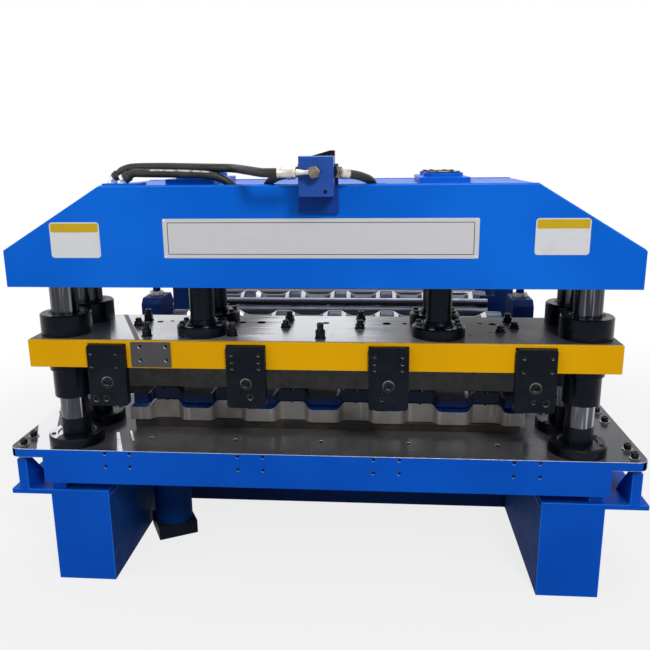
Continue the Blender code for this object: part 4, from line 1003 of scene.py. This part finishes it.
for x, z, radius in (
    (-0.5897, 0.584, 0.0085), (-0.562, 0.585, 0.0075), (-0.1745, 0.594, 0.007), (0.169, 0.594, 0.0045),
    (0.5841, 0.5903, 0.0085), (0.5534, 0.5925, 0.004),
):
    at = (x, EDGE_Y - 0.0243, z)
    ring = [(radius + 0.002, 0), (radius + 0.002, 0.001), (0, 0.0012)]
    block_rings.append(moved(turn(ring, 32), at, "-Y"))
    block_screws.append(screw(at, radius, 0.006, 0.55, 0.7))
    block_painted_glints.append(moved(painted_glint(radius * 0.72, radius * 0.26, 200, 340), (x, EDGE_Y - 0.0302, z), "-Y"))
show("block_screw_rings", block_rings, dark_side, "ram")
show("block_screws", block_screws, black_screw, "ram", bevel=0.0003)
show("block_screw_painted_glints", block_painted_glints, dull_washer, "ram")

# Dies: milled steel blocks with the tile wave, scalloped in plan so that they press the step.
# The lower one is bare grey steel on a dark base, its upward faces painted blue as a painted reflection.
# The blade above it is hardened black, with polished faces, painted reflections and painted highlights,
# and is held behind its two ends by keeper plates.
die_grey, place = start_finish("die_steel")
mill = place.stretched((0.6, 6, 12)).noise(70, 4, 0.6)
stain = place.noise(9, 5, 0.6).between(0.35, 0.75)
# Upward faces are painted blue: a painted reflection of the blue beams above.
polished_top_painted_reflection = facing(place).between(0.55, 0.85)
streak_and_painted_reflection = place.stretched((1, 0.1, 0.06)).noise(60, 3, 0.6).between(0.56, 0.7)
end_finish(
    die_grey, bump=mill, height=0.00012,
    Base_Color=polished_top_painted_reflection.choose(
        (0.6 * streak_and_painted_reflection).choose(stain.choose((0.205, 0.196, 0.184), (0.13, 0.12, 0.11)), (0.33, 0.315, 0.29)),
        (0.014, 0.12, 0.54),
    ),
    Roughness=0.44 + 0.12 * stain - 0.28 * polished_top_painted_reflection, Metallic=0.62,
)
die_black, place = start_finish("upper_die_steel")
mill = place.stretched((0.6, 6, 10)).noise(60, 4, 0.6)
stain = place.noise(7, 4, 0.6).between(0.35, 0.7)
# Top faces are painted grey as a painted reflection, faces rising to the right are painted light as painted
# highlights, and the blade below about 0.5 m is painted navy as a painted blue reflection.
top = facing(place).between(0.7, 0.9)
slope_painted_highlight = (0 - facing(place, 0)).between(0.3, 0.5) * facing(place).between(0.3, 0.5)
low_painted_blue_reflection = 1 - place.axis(2).between(0.494, 0.52)
end_finish(
    die_black, bump=mill, height=0.00006,
    Base_Color=slope_painted_highlight.choose(
        top.choose(
            low_painted_blue_reflection.choose(stain.choose((0.003, 0.006, 0.02), (0.006, 0.009, 0.022)), (0.003, 0.014, 0.075)),
            (0.11, 0.112, 0.126),
        ), (0.72, 0.73, 0.78),
    ),
    Roughness=0.22 + 0.14 * stain + 0.4 * top, Metallic=0.45 - 0.45 * top + 0.4 * slope_painted_highlight,
    Specular_IOR_Level=0.15,
)
redressed("lower_die", die_grey, bevel=0.0009, sharp=30)
base_steel, place = start_finish("die_base_steel")
stain = place.noise(14, 5, 0.65).between(0.35, 0.7)
end_finish(
    base_steel, bump=place.stretched((0.5, 4, 10)).noise(60, 3), height=0.00006,
    Base_Color=stain.choose((0.02, 0.017, 0.016), (0.042, 0.036, 0.032)),
    Roughness=0.36 + 0.16 * stain, Metallic=0.35, Specular_IOR_Level=0.25,
)
redressed("die_base", base_steel, bevel=0.0012)
redressed("upper_die_blade", die_black, "ram", bevel=0.0022, sharp=30)
redressed("upper_die_holder", dark_side, "ram", slot="upper_die_steel", bevel=0.001, sharp=30)
blade_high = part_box("upper_die_blade")[1]
keepers = []
behind = (blade_high.y + 0.0005, blade_high.y + 0.0085)
for side in (-1, 1):
    inner, step, outer = blade_high.x - 0.075, blade_high.x + 0.004, blade_high.x + 0.046
    outline = [(inner, 0.527), (step, 0.527), (step, 0.49), (outer, 0.49), (outer, 0.61), (inner, 0.61)]
    keepers.append(prism([(side * x, z) for x, z in outline], *behind, "Y"))
show("blade_keepers", keepers, dark_side, "ram", slot="upper_die_steel", bevel=0.001)

# Rolls: shafts with six shaped and chromed rings each, the upper hollow where the lower is proud.
# They turn in the bearing stands and pass the sheet on from bay to bay.
roll_chrome, place = start_finish("roll_chrome")
rings = place.stretched((90, 1, 1)).noise(8, 3)
film = place.noise(16, 4, 0.6).between(0.4, 0.75)
side_on = facing(place, 0)
up = facing(place, 2)
# Bright upward flanks of the rings are painted highlights, and grey bands chosen by how far faces turn up are
# painted reflections.
flank_painted_highlight = (side_on * side_on).between(0.16, 0.23) * up.between(0.5, 0.66)
painted_reflection_bands = up.between(0.04, 0.42) - up.between(0.42, 0.47) + up.between(-0.4, -0.08) - up.between(-0.08, -0.03)
end_finish(
    roll_chrome, bump=rings, height=0.00003,
    Base_Color=flank_painted_highlight.choose(
        painted_reflection_bands.choose(film.choose((0.026, 0.03, 0.048), (0.014, 0.017, 0.03)), (0.078, 0.084, 0.108)),
        (0.58, 0.59, 0.62),
    ),
    Roughness=0.16 + 0.14 * film, Metallic=1,
)
WAVE_PITCH = 0.1875
WAVE_HEIGHT = 0.0185
ROLL_WAVE = ((0.12, 0.00), (0.22, 0.6), (0.32, 1.00), (0.68, 1.00), (0.78, 0.6), (0.88, 0.00))
ROLL_END = 0.59
BODY_RADIUS = 0.0555


def roll_profile(sign, tip):
    """(radius, x) points of a roll from its left tip to its right one, the wave's corners rounded."""
    corners = [(BODY_RADIUS - sign * WAVE_HEIGHT / 2, -ROLL_END)]
    for wave in range(6):
        start = (wave - 3) * WAVE_PITCH
        for share, height in ROLL_WAVE:
            corners.append((BODY_RADIUS + sign * (height - 0.5) * WAVE_HEIGHT, start + share * WAVE_PITCH))
    corners.append((BODY_RADIUS - sign * WAVE_HEIGHT / 2, ROLL_END))
    smooth = [corners[0]]
    for before, here, after in zip(corners, corners[1:], corners[2:]):
        for t in (0.2, 0.08):
            smooth.append((here[0] + (before[0] - here[0]) * t, here[1] + (before[1] - here[1]) * t))
        for t in (0.08, 0.2):
            smooth.append((here[0] + (after[0] - here[0]) * t, here[1] + (after[1] - here[1]) * t))
    smooth.append(corners[-1])
    left = [(0, -tip), (0.028, -tip), (0.03, -tip + 0.002), (0.03, -ROLL_END)]
    right = [(0.03, ROLL_END), (0.03, tip - 0.002), (0.028, tip), (0, tip)]
    return left + smooth + right


for level_name, sign in (("lower", 1), ("upper", -1)):
    for bay in (1, 2, 3):
        node = f"{level_name}_roll_{bay}"
        low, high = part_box(node)
        at = (0, (low.y + high.y) / 2, (low.z + high.z) / 2)
        shape = moved(turn(roll_profile(sign, high.x), 72), at, "X")
        show(node + "_turned", shape, roll_chrome, node, node, sharp=50)

# Side frames: box rails on the floor with bearing stands, coloured a darker blue than the press as painted
# shade.
# Each stand has an adjusting screw on top that presses the upper bearing down.
frame_blue_painted_shade = enamel(
    "forming_frame_blue", (0.003, 0.014, 0.07), (0.005, 0.024, 0.12), roughness=0.4, dust_on_top=0.12,
)
for node in ("left_side_frame", "right_side_frame", "front_cross_member", "rear_cross_member"):
    redressed(node, frame_blue_painted_shade, bevel=0.002)
LOCK_NUT = [(0.0145, 0), (0.026, 0), (0.026, 0.014), (0.0245, 0.016), (0.0145, 0.016)]
adjusters = []
for side in (-1, 1):
    for bay_y in (0.733, 1.122, 1.511):
        adjusters.append(moved(turn(LOCK_NUT, 6), (side * 0.655, EDGE_Y + bay_y, 0.7152)))
show("stand_lock_nuts", adjusters, dull_washer, bevel=0.0008)

# Guide shafts: two straight steel bars ahead of the second and third pairs of rolls.
# Their ends are screwed to angle brackets, which are bolted to the inner faces of the bearing stands.
shaft_steel, place = start_finish("guide_shaft_steel")
lines = place.stretched((60, 1, 1)).noise(9, 3)
film = place.noise(12, 4, 0.6).between(0.35, 0.7)
# Upward faces are painted light as a painted highlight, and downward faces near black as painted shade.
up = facing(place)
lit = up.between(0.74, 0.9)
end_finish(
    shaft_steel, bump=lines, height=0.00003,
    Base_Color=lit.choose(
        up.between(-0.45, -0.1).choose(
            (0.008, 0.01, 0.018), film.choose((0.11, 0.118, 0.155), (0.085, 0.092, 0.125)),
        ),
        (0.2, 0.212, 0.25),
    ),
    Roughness=0.28 + 0.14 * film, Metallic=0.85,
)
SHAFT_END = 0.588
for bay, stand_y in ((2, 1.047), (3, 1.436)):
    front, back = EDGE_Y + stand_y - 0.0035, EDGE_Y + stand_y + 0.005
    shafts = []
    for radius, z in ((0.0125, 0.6345), (0.018, 0.596)):
        rod = solid([(radius, -SHAFT_END), (radius, SHAFT_END)], 48)
        shafts.append(moved(rod, (0, front - radius, z), "X"))
    show(f"guide_shafts_{bay}", shafts, shaft_steel, sharp=50)
    brackets = []
    bracket_screws = []
    for side in (-1, 1):
        corners = [(0.56, front), (0.62, front), (0.62, front + 0.04), (0.612, front + 0.04)]
        corners += [(0.612, back), (0.56, back)]
        brackets.append(prism([(side * x, y) for x, y in corners], 0.57, 0.656))
        for z in (0.578, 0.619, 0.65):
            bracket_screws.append(screw((side * 0.603, front, z), 0.0042, 0.0005, 0.6, 0.8))
    show(f"guide_shaft_brackets_{bay}", brackets, frame_blue_painted_shade, bevel=0.001)
    show(f"guide_shaft_screws_{bay}", bracket_screws, black_screw)

# Manifold: a drilled steel block on a plate, in a duller blue than the beam behind it.
# A plug closes its top, an elbow on its front and a nut on each side take the hoses.
dull_blue = enamel("manifold_enamel", (0.016, 0.058, 0.27), (0.024, 0.076, 0.33), dust_on_top=0.3)
plate_blue = enamel("manifold_plate_enamel", (0.006, 0.034, 0.2), (0.01, 0.05, 0.27))
fitting = patchy(
    "fitting_steel", "blackened_steel", (70, 4, 0.6), (0.35, 0.7),
    ((0.13, 0.11, 0.09), (0.25, 0.225, 0.19)), (0.25, 0.2), grain=(600, 2), height=0.00006,
    Metallic=0.9,
)
PLATE_BACK = EDGE_Y - 0.0438
PLATE_FRONT = PLATE_BACK - 0.012
BLOCK_FRONT = PLATE_FRONT - 0.07
body = block((-0.026, 0.054), (BLOCK_FRONT, PLATE_FRONT), (1.117, 1.2085))
show("manifold_body", body, dull_blue, instead_of="manifold_block", bevel=0.001)
# A pale blue strip along the block's top front edge is a painted highlight.
rim = block((-0.0255, 0.0535), (BLOCK_FRONT - 0.0002, BLOCK_FRONT + 0.001), (1.2065, 1.2083))
show("manifold_top_painted_highlight", rim, pale_blue_highlight)
plate = block((-0.035, 0.061), (PLATE_FRONT, PLATE_BACK), (1.074, 1.19))
show("manifold_plate", plate, plate_blue, bevel=0.001)
wedge = [(0, 1.2083), (0.0545, 1.2083), (0.0545, manifold_high.z), (0.044, manifold_high.z)]
plug = prism(wedge, PLATE_FRONT - 0.03, PLATE_FRONT - 0.001, "Y")
show("manifold_plug", plug, black_screw, bevel=0.001)
ELBOW = Vector((0.012, BLOCK_FRONT - 0.022, ELBOW_Z))
elbow = [(0.0135, 0), (0.015, 0.002), (0.015, 0.027), (0.013, 0.029)]
nuts = [moved(solid(elbow, 6), (ELBOW.x, BLOCK_FRONT, ELBOW_Z), "-Y", 0.25)]
side_nut = [(0.014, 0), (0.015, 0.001), (0.015, 0.013), (0.014, 0.014)]
side_sleeve = [
    (0.0105, 0.013), (0.0118, 0.013), (0.0118, 0.016), (0.0132, 0.017), (0.0132, 0.024), (0.0124, 0.025),
    (0.0124, 0.027), (0.0132, 0.028), (0.0132, 0.038), (0.0108, 0.04),
]
sleeves = []
for root, way in ((RIGHT_ROOT, RIGHT_WAY), (LEFT_ROOT, LEFT_WAY)):
    nuts.append(moved(solid(side_nut, 6), root, way))
    sleeves.append(moved(turn(side_sleeve, 40), root, way))
show("manifold_nuts", nuts, fitting, bevel=0.0006)
stem = [(0.007, 0), (0.007, 0.01), (0.0052, 0.016), (0.0052, 0.024), (0.007, 0.032), (0.007, 0.04)]
sleeves.append(moved(turn([(0, 0), *stem], 24), ELBOW, "-X"))
ferrule = [
    (0, 0.04), (0.01, 0.04), (0.012, 0.0415), (0.012, 0.046), (0.0112, 0.047), (0.0112, 0.049),
    (0.012, 0.05), (0.012, 0.076), (0.0113, 0.077), (0.0113, 0.079), (0.012, 0.08), (0.012, 0.083),
    (0.0108, 0.084),
]
sleeves.append(moved(turn(ferrule, 40), ELBOW, "-X"))
show("manifold_sleeves", sleeves, plated)
port_plug = screw((0.0352, BLOCK_FRONT, 1.1283), 0.0045, 0.001, 0.62, 0.8)
show("manifold_port_plug", port_plug, black_screw)

# Couplings: two plated stubs on a small welded plate at the beam's left end.
# Each rises to the right, with a nut at its foot and a black crimped sleeve on the hose.
pad = block((-0.53, -0.44), (EDGE_Y - 0.022, EDGE_Y + 0.052), (couplings_low.z, couplings_low.z + 0.006))
show("coupling_plate", pad, blue, instead_of="hose_couplings", bevel=0.001, edge=blue_edge_highlight)
feet = []
collars = []
crimps = []
COLLAR = [(0.013, 0), (0.014, 0.001), (0.014, 0.008), (0.013, 0.009)]
CRIMP = [(0.0128, 0.009), (0.0136, 0.01), (0.0136, 0.022), (0.0124, 0.024)]
for root, way in (FRONT_STUB, REAR_STUB):
    foot = [(0.0115, 0), (0.0115, root.z - couplings_low.z)]
    feet.append(moved(solid(foot, 32), (root.x, root.y, couplings_low.z)))
    collars.append(moved(solid(COLLAR, 6), root, way))
    crimps.append(moved(solid(CRIMP, 40), root, way))
show("coupling_feet", feet, plated)
show("coupling_collars", collars, painted_highlight_and_plated_steel, bevel=0.0005)
show("coupling_sleeves", crimps, rubber)


# The studio: a pale floor that keeps the machine's shadow, soft lamps, and a white surround.
# The surround shows white to the camera and in polished metal, and lights the rest gently.
def seen_by(tree, *kinds):
    """1 for rays of the named kinds, else 0."""
    rays = tree.nodes.new("ShaderNodeLightPath")
    seen = Value(tree, rays.outputs[f"Is {kinds[0]} Ray"])
    for kind in kinds[1:]:
        seen = seen.sum("MAXIMUM", Value(tree, rays.outputs[f"Is {kind} Ray"]))
    return seen


world = bpy.data.worlds.new("studio")
bpy.context.scene.world = world
world.use_nodes = True
tree = world.node_tree
tree.nodes.clear()
seen = seen_by(tree, "Camera", "Glossy", "Transmission")
strength = 0.34 + 0.66 * seen
surround = seen.node("ShaderNodeBackground", None, {"Color": (1, 1, 1), "Strength": strength})
sky = tree.nodes.new("ShaderNodeOutputWorld")
tree.links.new(surround.socket, sky.inputs["Surface"])

floor_finish, place = start_finish("pale_floor")
tree = floor_finish.node_tree
seen = seen_by(tree, "Camera", "Glossy")
matt = place.node("ShaderNodeBsdfDiffuse", None, {"Color": (0.52, 0.52, 0.52)})
glow = place.node("ShaderNodeEmission", None, {"Color": (1, 1, 1), "Strength": 1})
away = place.stretched((1, 0.8, 0)).reach().between(1.3, 2.6)
mixed = place.node("ShaderNodeMixShader", None, {0: seen * (0.8 + 0.2 * away), 1: matt, 2: glow})
tree.links.new(mixed.socket, tree.nodes["Material Output"].inputs["Surface"])
FLOOR = 60
floor_mesh = bpy.data.meshes.new("floor")
corners = [(-FLOOR, -FLOOR, 0), (FLOOR, -FLOOR, 0), (FLOOR, FLOOR, 0), (-FLOOR, FLOOR, 0)]
floor_mesh.from_pydata(corners, [], [(0, 1, 2, 3)])
floor = placed("floor", floor_mesh)
floor_mesh.materials.append(floor_finish)


def lamp(name, at, aim, size, power):
    """A soft square lamp that points at a place."""
    light = bpy.data.lights.new(name, "AREA")
    light.shape = "SQUARE"
    light.size = size
    light.energy = power
    piece = placed(name, light)
    piece.location = at
    piece.rotation_euler = (Vector(aim) - Vector(at)).to_track_quat("-Z", "Y").to_euler()


lamp("front_lamp", (1.3, EDGE_Y - 2.9, 3), (0, EDGE_Y + 0.1, 0.7), 0.8, 90)
lamp("left_lamp", (-3, EDGE_Y - 1.8, 2), (0, EDGE_Y + 0.3, 0.6), 2.2, 44)
lamp("rear_lamp", (0.4, 2.4, 4.2), (0, 0.2, 0.6), 2.2, 55)
lamp("top_lamp", (0, 0, 4), (0, 0, 0), 3, 40)

bpy.context.scene.view_settings.view_transform = "Standard"
